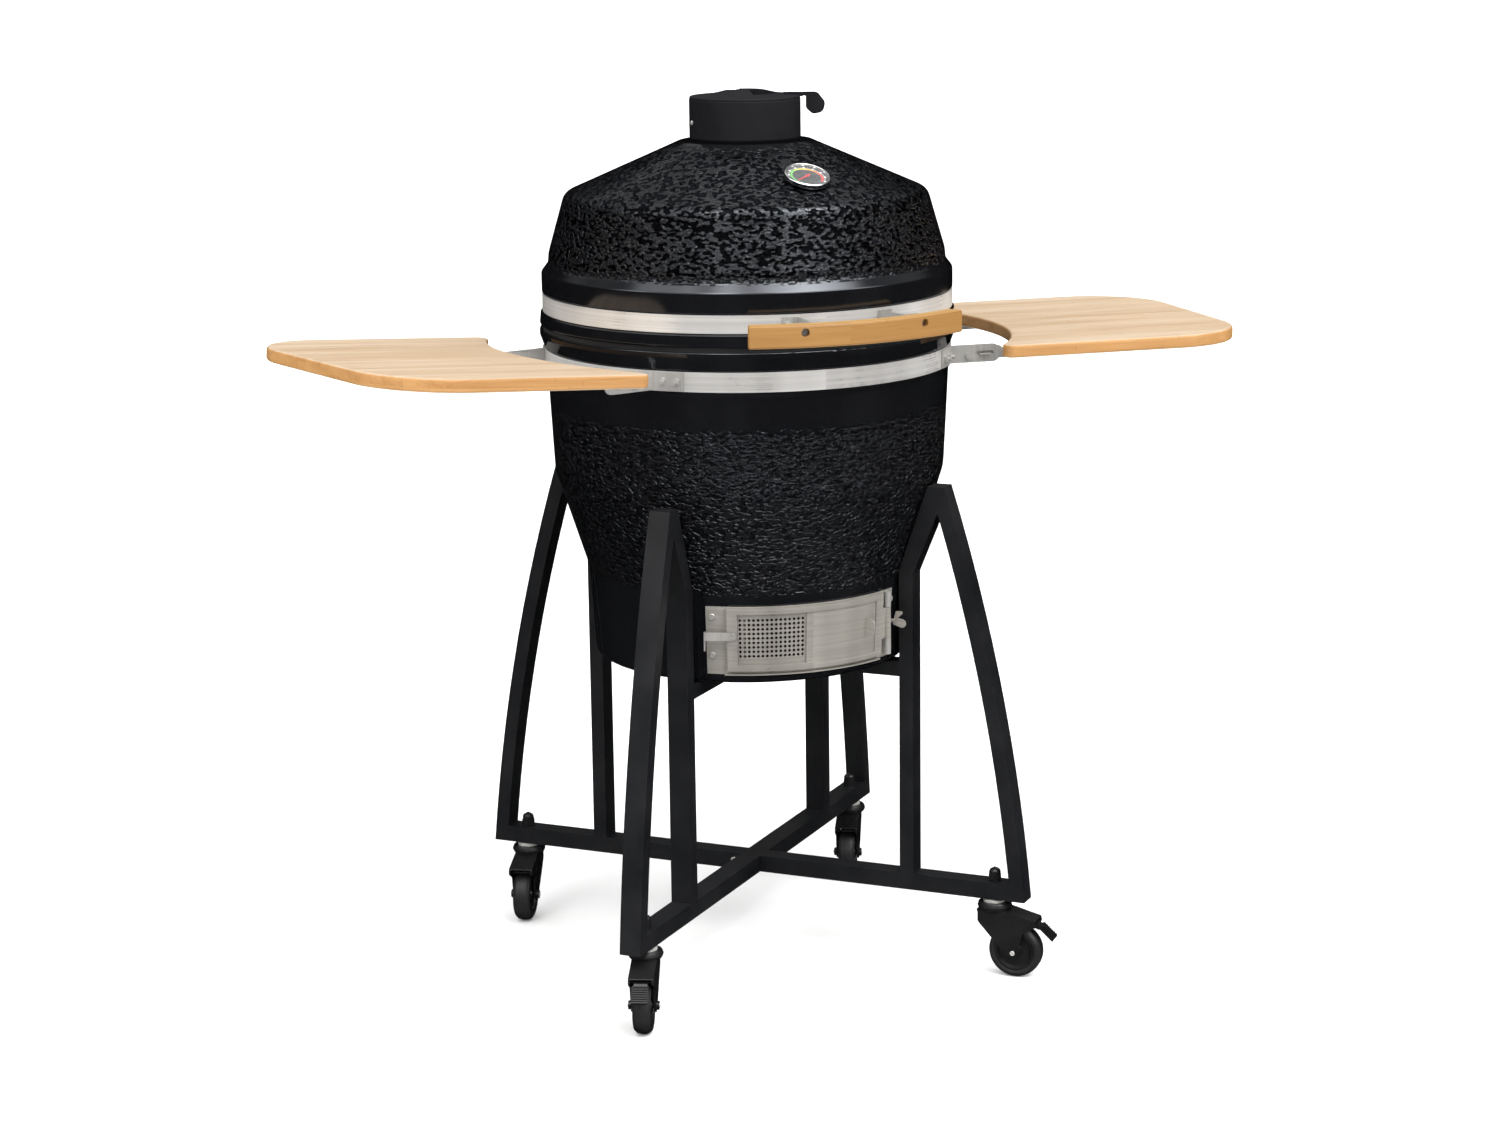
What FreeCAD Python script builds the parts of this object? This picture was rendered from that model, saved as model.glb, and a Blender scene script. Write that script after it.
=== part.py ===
import FreeCAD, Part
import math
import os

# Kamado ceramic grill on a four-legged tube stand with casters. Millimetres.
# +Z is up, the floor is z = 0, the ceramic body turns about the Z axis, and the
# draft door faces -Y. Bearings are degrees from the front (-Y) towards +X.

V = FreeCAD.Vector
CENTRE = V(0, 0, 0)
UP = V(0, 0, 1)

# ---- driving sizes -------------------------------------------------------
FIT_GAP = 0.3            # between faces of different bodies
PIN_PLAY = 0.06          # radial clearance of a pin in its eye
HOLE_PLAY = 0.3          # radial clearance of a screw in its hole

WALL_BASE = 23.0         # ceramic wall of the base
BASE_FLOOR_T = 22.0      # ceramic floor of the base
WALL_DOME = 24.0         # ceramic wall of the dome, measured upwards
BODY_FLOOR_Z = 434.0     # underside of the ceramic base
BODY_FLOOR_R = 216.5     # radius of the base at its underside
WAIST_R = 224.0          # radius where the smooth foot meets the textured bowl
WAIST_Z = 556.0
BOWL_R = 268.0           # radius where the bowl turns upright
BOWL_Z = 694.0
BAND_SEAT_R = 276.8      # ceramic under the lower band
LOWER_BAND_Z = 838.0
LOWER_BAND_H = 26.0
RIM_R = 284.3            # lip of base and dome at the seam
RIM_Z = 890.0            # top of the base rim
GASKET_T = 3.0
UPPER_BAND_Z = 914.7
UPPER_BAND_H = 23.8
UPPER_SEAT_R = 278.5
BAND_T = 1.5
DOME_RING_R = 280.4      # smooth ring above the upper band
DOME_RING_TOP = 966.0
SHOULDER_R = 247.0       # corner between the dome's side and its cone
SHOULDER_Z = 1071.5
DOME_TOP_Z = 1140.0
DOME_TOP_R = 89.6
CHIMNEY_R = 55.0
FITTING_TURN = 4.3       # bearing of the bands, handle, thermometer and hinge

TUBE = 20.0              # stand tube, in the plane of a leg
TUBE_W = 30.0            # stand tube, across the plane of a leg
ARM_Z = 110.0            # underside of the floor cross
ARM_H = 23.0
LEG_ARC_R = 2663.0       # outer face of the curved leg
LEG_ARC_CENTRE_R = -2243.0
LEG_ARC_CENTRE_Z = -135.0
LEG_TOP_Z = 681.0
POST_R = 226.6           # inner face of the upright post
POST_TOP_Z = 562.0
CRADLE_TOP_Z = BODY_FLOOR_Z - 0.1
SEAM = 0.15              # half of the gap where two tubes meet at a mitre
STEM_R = 361.0           # caster stems from the middle of the stand
WHEEL_R = 37.5
WHEEL_W = 25.0
TRAIL = 31.0
CASTER_BEARINGS = {"fl": -45.0, "fr": 45.0, "bl": -135.0, "br": 135.0}
CASTER_TURNS = {"fl": -116.0, "fr": -42.0, "bl": -120.0, "br": -118.0}
BRAKED = ("fl", "fr")
PEDAL_X = 52.0
PEDAL_Z = 76.5

SHELF_TOP_Z = 872.0
SHELF_T = 18.0
SHELF_HALF_W = 216.0
SHELF_END_X = 666.0
SHELF_CORNER_R = 112.0
SHELF_ARC_R = 338.0      # hollow side of the board
SHELF_ARC_X = 22.7
SHELF_SWEEP = 9.0        # each shelf stands this far forward of square
SHELF_TILT = {"left": 4.5, "right": 0.0}
FOLD_X = 272.0
FOLD_Z = 848.0
ARM_PLATE_T = 2.5
ARM_PLATE_END = 317.0
ARM_BEND = 29.0          # bearing of the arm's bend from the shelf's centre line
ARM_FLANGE_END = 38.0

HANDLE_IN_R = 336.0
HANDLE_OUT_R = 360.0
HANDLE_Z = 906.0
HANDLE_H = 29.0
HANDLE_HALF = 25.5       # half of the bar, degrees
HANDLE_BOLT = 13.8       # bearing of its bolts from its middle
HANDLE_ARM = 11.8

THERMO_R = 183.5
THERMO_TILT = 66.5       # elevation of the dial's normal, square to the cone
THERMO_FACE_R = 31.0

VENT_R = 75.5
VENT_WALL = 6.0
VENT_TOP_Z = 1196.0
VENT_DOME_H = 11.0
VENT_LEVER_BEARING = 68.0
VENT_SLOTS = 2
VENT_SLOT_ANGLE = 76.0
VENT_SLOT_BEARING = 32.0
VENT_SLOT_IN = 12.0
VENT_SLOT_OUT = 44.0
VENT_DOME_R = 50.0

DRAFT_HALF = 25.0        # half of the draft opening, degrees
DRAFT_Z0 = 466.0
DRAFT_Z1 = 532.0
DOOR_Z0 = 448.5
DOOR_Z1 = 542.0
DOOR_FRAME_HALF = 37.0
RAIL_H = 8.5
PANEL_HALF = 26.0
CAP_DEG = 3.5
SHEET_T = 1.5
DAMPER_FROM = -2.4
MESH_HOLE_R = 1.95
MESH_COLS = 15
MESH_ROWS = 9
MESH_PITCH_Z = 6.2
MESH_PITCH_DEG = 1.54
MESH_FIRST_DEG = -25.15
HINGE_DEG = 32.5
BARREL_R = 4.0
LEAF_END_DEG = 34.3
WING_DEG = 36.2
LATCH_DEG = -27.6
LATCH_Z = 503.0

LID_PIN_R = 318.0        # hinge pin from the body's axis
LID_PIN_Z = 888.0
LID_PIN_RAD = 5.0
LID_ARM_X = 56.0
LID_CHEEK_X = 62.0
HINGE_STUDS = (-8.5, 8.5)
PLATE_T = 3.0

parts = {}


# ---- helpers ---------------------------------------------------------------
def rounded_wire(points, place):
    """A closed wire through (a, b) or (a, b, radius) points, with tangent arcs."""
    count = len(points)
    stops = []
    for i in range(count):
        here = points[i]
        radius = here[2] if len(here) > 2 else 0.0
        corner = V(here[0], here[1], 0)
        if radius <= 0:
            stops.append((corner, None, corner))
            continue
        back = V(points[i - 1][0], points[i - 1][1], 0) - corner
        ahead = V(points[(i + 1) % count][0], points[(i + 1) % count][1], 0) - corner
        back.normalize()
        ahead.normalize()
        half = back.getAngle(ahead) / 2
        run = radius / math.tan(half)
        bisector = back + ahead
        bisector.normalize()
        middle = corner + bisector * (radius / math.sin(half) - radius)
        stops.append((corner + back * run, middle, corner + ahead * run))
    edges = []
    for i in range(count):
        start, middle, end = stops[i]
        if middle is not None:
            edges.append(Part.Arc(place(start), place(middle), place(end)).toShape())
        following = stops[(i + 1) % count][0]
        if end.distanceToPoint(following) > 1e-6:
            edges.append(Part.LineSegment(place(end), place(following)).toShape())
    return Part.Wire(edges)


def upright(p):
    """Profile point (r, z) on the XZ plane."""
    return V(p.x, 0, p.y)


def revolved(points, angle=360.0):
    """Profile of (r, z) points turned about Z, from bearing 90 (+X)."""
    face = Part.Face(rounded_wire(points, upright))
    return face.revolve(CENTRE, UP, angle)


def spun(shape, degrees):
    """A copy turned about Z, anticlockwise seen from above."""
    copy = shape.copy()
    copy.rotate(CENTRE, UP, degrees)
    return copy


def sector(points, start, end):
    """Profile of (r, z) points swept between two bearings."""
    return spun(revolved(points, end - start), start - 90)


def band_ring(r_in, r_out, z0, z1, start=None, end=None):
    profile = [(r_in, z0), (r_out, z0), (r_out, z1), (r_in, z1)]
    if start is None:
        return revolved(profile)
    return sector(profile, start, end)


def side_plate(points, y0, thickness):
    """Outline of (x, z) points with corner radii, given a thickness along Y."""
    face = Part.Face(rounded_wire(points, lambda p: V(p.x, y0, p.y)))
    return face.extrude(V(0, thickness, 0))


def flat_plate(points, z0, thickness):
    """Outline of (x, y) points with corner radii, given a height along Z."""
    face = Part.Face(rounded_wire(points, lambda p: V(p.x, p.y, z0)))
    return face.extrude(V(0, 0, thickness))


def rod(radius, start, end):
    along = V(*end) - V(*start)
    return Part.makeCylinder(radius, along.Length, V(*start), along)


def block(x0, x1, y0, y1, z0, z1):
    return Part.makeBox(x1 - x0, y1 - y0, z1 - z0, V(x0, y0, z0))


def joined(shapes):
    solid = shapes[0].multiFuse(shapes[1:]) if len(shapes) > 1 else shapes[0]
    return solid.removeSplitter()


def drilled(shape, tools):
    return shape.cut(Part.makeCompound(tools))


def outward(bearing, radius, z):
    """The point at a bearing, a radius and a height."""
    angle = math.radians(bearing)
    return V(radius * math.sin(angle), -radius * math.cos(angle), z)


def radial_rod(bearing, z, r_from, r_to, radius):
    start = outward(bearing, r_from, z)
    end = outward(bearing, r_to, z)
    return Part.makeCylinder(radius, r_to - r_from, start, end - start)


def hexagon(radius, height):
    corners = [(radius * math.cos(math.radians(60 * i)), radius * math.sin(math.radians(60 * i)))
               for i in range(6)]
    return flat_plate(corners, 0, height)


def stood_radially(shape, bearing, z, radius):
    """A shape built along +Z, laid along the outward direction at a bearing."""
    copy = shape.copy()
    copy.rotate(CENTRE, V(0, 1, 0), 90)
    copy.translate(V(radius, 0, z))
    return spun(copy, bearing - 90)


def pan_head(radius, height):
    body = Part.makeCylinder(radius, height)
    return body.makeFillet(height * 0.6, [e for e in body.Edges if abs(e.BoundBox.ZMin - height) < 1e-6
                                          and abs(e.BoundBox.ZMax - height) < 1e-6])


def stud_and_nut(bearing, z, seat_r, plate_t, shaft=3.0, nut=5.5, nut_h=5.0, tail=4.0):
    """A stud standing out of a band through a plate, with its nut."""
    post = radial_rod(bearing, z, seat_r, seat_r + plate_t + nut_h + tail, shaft)
    cap = stood_radially(hexagon(nut, nut_h), bearing, z, seat_r + plate_t + 0.05)
    return joined([post, cap])


def head_screw(bearing, z, seat_r, plate_t, shaft=2.5, head=4.6, head_h=2.6):
    post = radial_rod(bearing, z, seat_r, seat_r + plate_t + head_h * 0.5, shaft)
    cap = stood_radially(pan_head(head, head_h), bearing, z, seat_r + plate_t + 0.05)
    return joined([post, cap])


def foot_r(z):
    """Radius of the smooth foot of the base at a height."""
    return BODY_FLOOR_R + (WAIST_R - BODY_FLOOR_R) * (z - BODY_FLOOR_Z) / (WAIST_Z - BODY_FLOOR_Z)


def foot_sheet(inner, outer, z0, z1, start, end):
    """A sheet that follows the foot's taper, inner to outer millimetres off it."""
    profile = [(foot_r(z0) + inner, z0), (foot_r(z0) + outer, z0),
               (foot_r(z1) + outer, z1), (foot_r(z1) + inner, z1)]
    return sector(profile, start, end)


# ---- ceramic ---------------------------------------------------------------
def make_ceramics():
    band_top = LOWER_BAND_Z + LOWER_BAND_H
    outer = [(0, BODY_FLOOR_Z), (BODY_FLOOR_R, BODY_FLOOR_Z, 12), (WAIST_R, WAIST_Z, 10),
             (BOWL_R, BOWL_Z, 60), (BAND_SEAT_R - 2.0, LOWER_BAND_Z - 8), (BAND_SEAT_R + 1.0,
                                                            LOWER_BAND_Z - 3),
             (BAND_SEAT_R + 1.0, LOWER_BAND_Z - 0.4), (BAND_SEAT_R, LOWER_BAND_Z - 0.4),
             (BAND_SEAT_R, band_top + 0.4), (BAND_SEAT_R + 2.0, band_top + 3), (RIM_R, RIM_Z - 8, 5),
             (RIM_R, RIM_Z, 2)]
    inner = [(RIM_R - 30, RIM_Z), (BAND_SEAT_R - WALL_BASE - 3, LOWER_BAND_Z),
             (BOWL_R - WALL_BASE - 3, BOWL_Z, 40),
             (WAIST_R - WALL_BASE - 1, WAIST_Z, 15), (BODY_FLOOR_R - WALL_BASE,
                                                      BODY_FLOOR_Z + BASE_FLOOR_T, 12),
             (0, BODY_FLOOR_Z + BASE_FLOOR_T)]
    shell = revolved(outer + inner)
    shell = shell.cut(band_ring(150, 260, DRAFT_Z0, DRAFT_Z1, -DRAFT_HALF, DRAFT_HALF))
    parts["base_shell"] = shell

    lip_z = RIM_Z + 2 * GASKET_T
    top = UPPER_BAND_Z + UPPER_BAND_H
    cone = (DOME_TOP_Z - SHOULDER_Z) / (SHOULDER_R - DOME_TOP_R)
    dome_outer = [(RIM_R, lip_z, 3), (RIM_R - 1.8, UPPER_BAND_Z - 3), (UPPER_SEAT_R, UPPER_BAND_Z - 0.4),
                  (UPPER_SEAT_R, top + 0.4), (DOME_RING_R, top + 2.5), (DOME_RING_R, DOME_RING_TOP, 6),
                  (271.3, DOME_RING_TOP + 12, 5), (270.0, 992.0), (SHOULDER_R, SHOULDER_Z, 20),
                  (DOME_TOP_R, DOME_TOP_Z, 6), (CHIMNEY_R, DOME_TOP_Z)]
    inner_z = SHOULDER_Z - WALL_DOME + cone * WALL_DOME
    dome_inner = [(CHIMNEY_R, DOME_TOP_Z - WALL_DOME), (DOME_TOP_R, DOME_TOP_Z - WALL_DOME),
                  (SHOULDER_R - WALL_DOME, inner_z, 16), (250, 975), (RIM_R - 30, lip_z)]
    dome = revolved(dome_outer + dome_inner)
    stem_hole = thermo_placed(rod(5.0, (0, 0, -60), (0, 0, 20)))
    parts["dome_shell"] = dome.cut(stem_hole)

    parts["base_gasket"] = band_ring(RIM_R - 29, RIM_R - 4, RIM_Z, RIM_Z + GASKET_T - FIT_GAP / 2)
    parts["dome_gasket"] = band_ring(RIM_R - 29, RIM_R - 4, lip_z - GASKET_T + FIT_GAP / 2, lip_z)


def make_fire_parts():
    floor = BODY_FLOOR_Z + BASE_FLOOR_T
    box = revolved([(168, floor), (180, floor), (184, floor + 6), (188, 556, 8), (226, 700), (206, 700),
                    (171, 563),
                    (171, 552), (150, 552), (150, 541), (168, 530)])
    box = box.cut(band_ring(120, 230, floor - 1, 526, -24, 24))
    parts["firebox"] = box
    grate = Part.makeCylinder(169, 7, V(0, 0, 552))
    slots = []
    for i in range(-7, 8):
        half = math.sqrt(152.0 ** 2 - (19.0 * i) ** 2)
        for y0, y1 in ((-half, -8), (8, half)):
            slots.append(flat_plate([(19 * i - 4, y0, 3.9), (19 * i + 4, y0, 3.9), (19 * i + 4, y1, 3.9),
                                     (19 * i - 4, y1, 3.9)], 550, 12))
    parts["charcoal_grate"] = drilled(grate, slots)
    parts["fire_ring"] = revolved([(206, 700), (226, 700), (237, 846), (215, 846)])
    rim = Part.makeTorus(228, 3.2, V(0, 0, 849.6))
    bars = [rim]
    for i in range(-13, 14):
        half = math.sqrt(228.0 ** 2 - (16.0 * i) ** 2)
        bars.append(rod(2.2, (16 * i, -half, 851.6), (16 * i, half, 851.6)))
    for y in (-90, 90):
        half = math.sqrt(228.0 ** 2 - y ** 2)
        bars.append(rod(2.6, (-half, y, 849.2), (half, y, 849.2)))
    parts["cooking_grate"] = joined(bars)


# ---- bands and lid hinge -----------------------------------------------------
def make_bands():
    parts["lower_band"] = band_ring(BAND_SEAT_R + 0.02, BAND_SEAT_R + BAND_T, LOWER_BAND_Z,
                                    LOWER_BAND_Z + LOWER_BAND_H)
    parts["upper_band"] = band_ring(UPPER_SEAT_R + 0.02, UPPER_SEAT_R + BAND_T, UPPER_BAND_Z,
                                    UPPER_BAND_Z + UPPER_BAND_H)


def make_lid_hinge():
    turn = 180 + FITTING_TURN
    low_seat = BAND_SEAT_R + BAND_T + 0.05
    high_seat = UPPER_SEAT_R + BAND_T + 0.05
    z0 = LOWER_BAND_Z + 1
    z1 = LOWER_BAND_Z + LOWER_BAND_H - 1
    half = math.degrees(math.asin((LID_CHEEK_X + PLATE_T) / low_seat))
    low = [band_ring(low_seat, low_seat + PLATE_T, z0, z1, -half, half)]
    inset = math.sqrt(low_seat ** 2 - LID_CHEEK_X ** 2)
    cheek = [(inset + 1, z0), (inset + 1, z1), (RIM_R + 4, z1 + 4), (RIM_R + 4, LID_PIN_Z + 2, 6),
             (LID_PIN_R, LID_PIN_Z + 13, 10), (LID_PIN_R + 13, LID_PIN_Z, 10), (LID_PIN_R - 16, z0, 8)]
    high_z0 = UPPER_BAND_Z + 1
    high_z1 = UPPER_BAND_Z + UPPER_BAND_H - 1
    high_half = math.degrees(math.asin((LID_ARM_X + PLATE_T) / high_seat))
    high = [band_ring(high_seat, high_seat + PLATE_T, high_z0, high_z1, -high_half, high_half)]
    high_in = math.sqrt(high_seat ** 2 - LID_ARM_X ** 2)
    arm = [(high_in + 1, high_z0), (high_in + 1, high_z1), (LID_PIN_R - 14, high_z1, 12),
           (LID_PIN_R + 12, LID_PIN_Z + 8, 10), (LID_PIN_R + 6, LID_PIN_Z - 11, 8),
           (LID_PIN_R - 12, LID_PIN_Z - 6, 8), (LID_PIN_R - 20, high_z0 - 4, 8)]
    for side in (-1, 1):
        y = side * (LID_CHEEK_X + PLATE_T / 2) - PLATE_T / 2
        low.append(side_plate(cheek, y, PLATE_T))
        y = side * (LID_ARM_X + PLATE_T / 2) - PLATE_T / 2
        high.append(side_plate(arm, y, PLATE_T))
    low[1:] = [spun(s, -90) for s in low[1:]]
    high[1:] = [spun(s, -90) for s in high[1:]]
    pin_end = LID_CHEEK_X + PLATE_T + 6
    reach = (-pin_end, -LID_PIN_R, LID_PIN_Z), (pin_end, -LID_PIN_R, LID_PIN_Z)
    bore = rod(LID_PIN_RAD + PIN_PLAY, *reach)
    for bearing in HINGE_STUDS:
        low[0] = low[0].cut(radial_rod(bearing, LOWER_BAND_Z + 13, 270, 290, 3.0 + HOLE_PLAY))
        high[0] = high[0].cut(radial_rod(bearing, UPPER_BAND_Z + 12, 270, 290, 3.0 + HOLE_PLAY))
    parts["hinge_lower_bracket"] = spun(joined(low).cut(bore), turn)
    parts["hinge_upper_bracket"] = spun(joined(high).cut(bore), turn)
    pin = [rod(LID_PIN_RAD, *reach)]
    for side in (-1, 1):
        pin.append(rod(8, (side * pin_end, -LID_PIN_R, LID_PIN_Z),
                       (side * (pin_end - 3.5), -LID_PIN_R, LID_PIN_Z)))
    parts["hinge_pin"] = spun(joined(pin), turn)
    coils = []
    for x0 in (-44, 14):
        helix = Part.makeHelix(4.6, 30, 10.0)
        start = V(10.0, 0, 0)
        ring = Part.Wire([Part.makeCircle(1.8, start, V(0, 1, 0.07))])
        coil = Part.Wire(helix.Edges).makePipeShell([ring], True, True)
        coil.rotate(CENTRE, V(0, 1, 0), 90)
        coil.translate(V(x0, -LID_PIN_R, LID_PIN_Z))
        coils.append(coil)
    parts["hinge_springs"] = spun(Part.makeCompound(coils), turn)
    return ([(turn + b, LOWER_BAND_Z + 13, low_seat, PLATE_T) for b in HINGE_STUDS],
            [(turn + b, UPPER_BAND_Z + 12, high_seat, PLATE_T) for b in HINGE_STUDS])


# ---- shelves ------------------------------------------------------------------
def shelf_outline():
    """D-shaped board: hollow arc on the body side, two large outer corners."""
    reach = math.sqrt(SHELF_ARC_R ** 2 - SHELF_HALF_W ** 2) + SHELF_ARC_X
    horn = 14.0
    corners = [(reach, -SHELF_HALF_W, 0), (SHELF_END_X, -SHELF_HALF_W, SHELF_CORNER_R),
               (SHELF_END_X, SHELF_HALF_W, SHELF_CORNER_R), (reach, SHELF_HALF_W, 0)]
    blank = flat_plate(corners, SHELF_TOP_Z - SHELF_T, SHELF_T)
    hollow = Part.makeCylinder(SHELF_ARC_R, SHELF_T + 2, V(SHELF_ARC_X, 0, SHELF_TOP_Z - SHELF_T - 1))
    board = blank.cut(hollow)
    tips = [e for e in board.Edges if e.BoundBox.ZLength > SHELF_T - 0.1 and e.BoundBox.XMax < reach + 5]
    board = board.makeFillet(horn, tips)
    rims = [e for e in board.Edges if e.BoundBox.ZLength < 0.01]
    return board.makeFillet(4.0, rims)


def arm_y():
    return (BAND_SEAT_R + BAND_T) * math.sin(math.radians(ARM_BEND))


def arm_plate():
    """Fixed bracket: a flange curved to the band and a straight arm."""
    seat = BAND_SEAT_R + BAND_T + 0.1
    y = arm_y()
    z0 = LOWER_BAND_Z + 0.8
    z1 = LOWER_BAND_Z + LOWER_BAND_H - 0.8
    flange = spun(band_ring(seat, seat + ARM_PLATE_T, z0, z1, ARM_BEND, ARM_FLANGE_END), 90)
    x0 = math.sqrt(seat ** 2 - (y - ARM_PLATE_T / 2) ** 2) + 0.1
    arm = side_plate([(x0, z0), (ARM_PLATE_END, z0, 10), (ARM_PLATE_END, z1, 10), (x0, z1)],
                     y - ARM_PLATE_T / 2, ARM_PLATE_T)
    slot = side_plate([(283, FOLD_Z + 1, 2.4), (308, FOLD_Z + 1, 2.4), (308, FOLD_Z + 6, 2.4),
                       (283, FOLD_Z + 6, 2.4)], y - 5, 10)
    eye = rod(3.5 + HOLE_PLAY, (FOLD_X, y - 5, FOLD_Z), (FOLD_X, y + 5, FOLD_Z))
    tab = side_plate([(287, FOLD_Z + 1.5), (303, FOLD_Z + 1.5), (303, FOLD_Z + 3), (287, FOLD_Z + 3)],
                     y + ARM_PLATE_T / 2 - 0.2, 5.0)
    lip = side_plate([(287, FOLD_Z - 1), (303, FOLD_Z - 1), (303, FOLD_Z + 3), (287, FOLD_Z + 3)],
                     y + ARM_PLATE_T / 2 - 0.2, 1.6)
    mid = (ARM_BEND + ARM_FLANGE_END) / 2 + 0.6
    holes = []
    for bearing in (mid - 1.9, mid + 1.9):
        holes.append(spun(radial_rod(bearing, LOWER_BAND_Z + 13, 270, 290, 3.0 + HOLE_PLAY), 90))
    plate = joined([flange, arm]).cut(Part.makeCompound([slot, eye] + holes))
    return joined([plate, tab, lip]), (mid - 1.9, mid + 1.9)


def shelf_bracket():
    """Moving bracket under the board: web beside the arm, flange under the wood."""
    outer = arm_y() - ARM_PLATE_T / 2 - 0.8
    under = SHELF_TOP_Z - SHELF_T - 0.05
    web = side_plate([(FOLD_X - 12, FOLD_Z - 6, 5), (455, under - 9, 4), (455, under), (326, under),
                      (318, FOLD_Z + 12, 6), (FOLD_X - 12, FOLD_Z + 12, 8)], outer - 2.0, 2.0)
    flange = flat_plate([(344, outer - 28, 5), (455, outer - 28, 5), (455, outer), (344, outer)],
                        under - 2.0, 2.0)
    bracket = joined([web, flange])
    eye = rod(3.5 + PIN_PLAY, (FOLD_X, outer - 5, FOLD_Z), (FOLD_X, outer + 5, FOLD_Z))
    holes = [rod(2.2 + HOLE_PLAY, (x, outer - 14, under - 5), (x, outer - 14, under + 5)) for x in (362,
                                                            400, 438)]
    return drilled(bracket, [eye] + holes), [(x, outer - 14, under) for x in (362, 400, 438)]


def mirrored(shape):
    return shape.mirror(CENTRE, V(0, 1, 0))


def make_shelves():
    plate, hole_bearings = arm_plate()
    bracket, screw_spots = shelf_bracket()
    board = shelf_outline()
    screws = []
    for x, y, z in screw_spots:
        screws.append(joined([rod(2.2, (x, y, z - 3.5), (x, y, z + 11)),
                              rod(4.2, (x, y, z - 4.2), (x, y, z - 2.05))]))
    pin_y = arm_y()
    pin = joined([rod(3.5, (FOLD_X, pin_y - 6, FOLD_Z), (FOLD_X, pin_y + 4, FOLD_Z)),
                  rod(5.2, (FOLD_X, pin_y + ARM_PLATE_T / 2 + 0.05, FOLD_Z), (FOLD_X, pin_y + 3.6, FOLD_Z)),
                  rod(5.2, (FOLD_X, pin_y - 6.6, FOLD_Z), (FOLD_X, pin_y - 4.6, FOLD_Z))])
    pilot = drilled(board, [rod(2.25, (x, y, z - 1), (x, y, z + 11.5)) for x, y, z in screw_spots]
                    + [mirrored(rod(2.25, (x, y, z - 1), (x, y, z + 11.5))) for x, y, z in screw_spots])
    plates, pins, studs = [], [], []
    for side, heading in (("right", FITTING_TURN - SHELF_SWEEP),
                          ("left", 180 + FITTING_TURN + SHELF_SWEEP)):
        moving = {"board": pilot,
                  "brackets": Part.makeCompound([bracket, mirrored(bracket)]),
                  "screws": Part.makeCompound(screws + [mirrored(s) for s in screws])}
        for name, shape in moving.items():
            copy = shape.copy()
            copy.rotate(V(FOLD_X, 0, FOLD_Z), V(0, 1, 0), -SHELF_TILT[side])
            parts["%s_shelf_%s" % (side, name)] = spun(copy, heading)
        plates += [spun(plate, heading), spun(mirrored(plate), heading)]
        pins += [spun(pin, heading), spun(mirrored(pin), heading)]
        for bearing in hole_bearings:
            for sign in (-1, 1):
                studs.append((heading + 90 + sign * bearing, LOWER_BAND_Z + 13,
                              BAND_SEAT_R + BAND_T + 0.05, ARM_PLATE_T + 0.05))
    parts["shelf_arm_plates"] = Part.makeCompound(plates)
    parts["shelf_fold_pins"] = Part.makeCompound(pins)
    return studs


# ---- handle ---------------------------------------------------------------------
def make_handle():
    bar = band_ring(HANDLE_IN_R, HANDLE_OUT_R, HANDLE_Z, HANDLE_Z + HANDLE_H, -HANDLE_HALF, HANDLE_HALF)
    bar = bar.makeFillet(3.0, bar.Edges)
    seat = UPPER_SEAT_R + BAND_T + 0.05
    z0 = UPPER_BAND_Z + 1.5
    z1 = UPPER_BAND_Z + 20.5
    middle = (z0 + z1) / 2
    brackets, bolts, studs = [], [], []
    for side in (-1, 1):
        bearing = side * HANDLE_BOLT
        near, far = sorted((side * HANDLE_ARM, side * (HANDLE_ARM + 4.6)))
        foot = band_ring(seat, seat + 2, z0, z1, near, far)
        near, far = sorted((side * HANDLE_ARM, side * (HANDLE_ARM + 3.6)))
        pad = band_ring(HANDLE_IN_R - 2.1, HANDLE_IN_R - 0.1, z0, z1, near, far)
        web = spun(side_plate([(seat + 1, z0), (HANDLE_IN_R - 1.1, z0), (HANDLE_IN_R - 1.1, z1),
                               (seat + 1, z1)],
                              -1.0 + side * 1.0, 2.0), side * HANDLE_ARM - 90)
        stud_bearing = side * (HANDLE_ARM + 2.9)
        holes = [radial_rod(bearing, middle, HANDLE_IN_R - 8, HANDLE_IN_R + 2, 3.0 + HOLE_PLAY),
                 radial_rod(stud_bearing, middle, seat - 5, seat + 5, 3.0 + HOLE_PLAY)]
        brackets.append(drilled(joined([foot, pad, web]), holes))
        bar = drilled(bar, [radial_rod(bearing, middle, HANDLE_IN_R - 5, HANDLE_OUT_R + 5, 3.0 + HOLE_PLAY),
                            radial_rod(bearing, middle, HANDLE_OUT_R - 12, HANDLE_OUT_R + 5, 5.5)])
        bolt = [radial_rod(bearing, middle, HANDLE_IN_R - 8, HANDLE_OUT_R - 10, 3.0),
                radial_rod(bearing, middle, HANDLE_OUT_R - 11.9, HANDLE_OUT_R - 8.5, 5.0),
                stood_radially(hexagon(5.5, 4.0), bearing, middle, HANDLE_IN_R - 6.2)]
        bolts.append(joined(bolt))
        studs.append((FITTING_TURN + stud_bearing, middle, seat, 2.0))
    parts["handle_bar"] = spun(bar, FITTING_TURN)
    parts["handle_brackets"] = spun(Part.makeCompound(brackets), FITTING_TURN)
    return studs, [spun(b, FITTING_TURN) for b in bolts]


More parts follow.
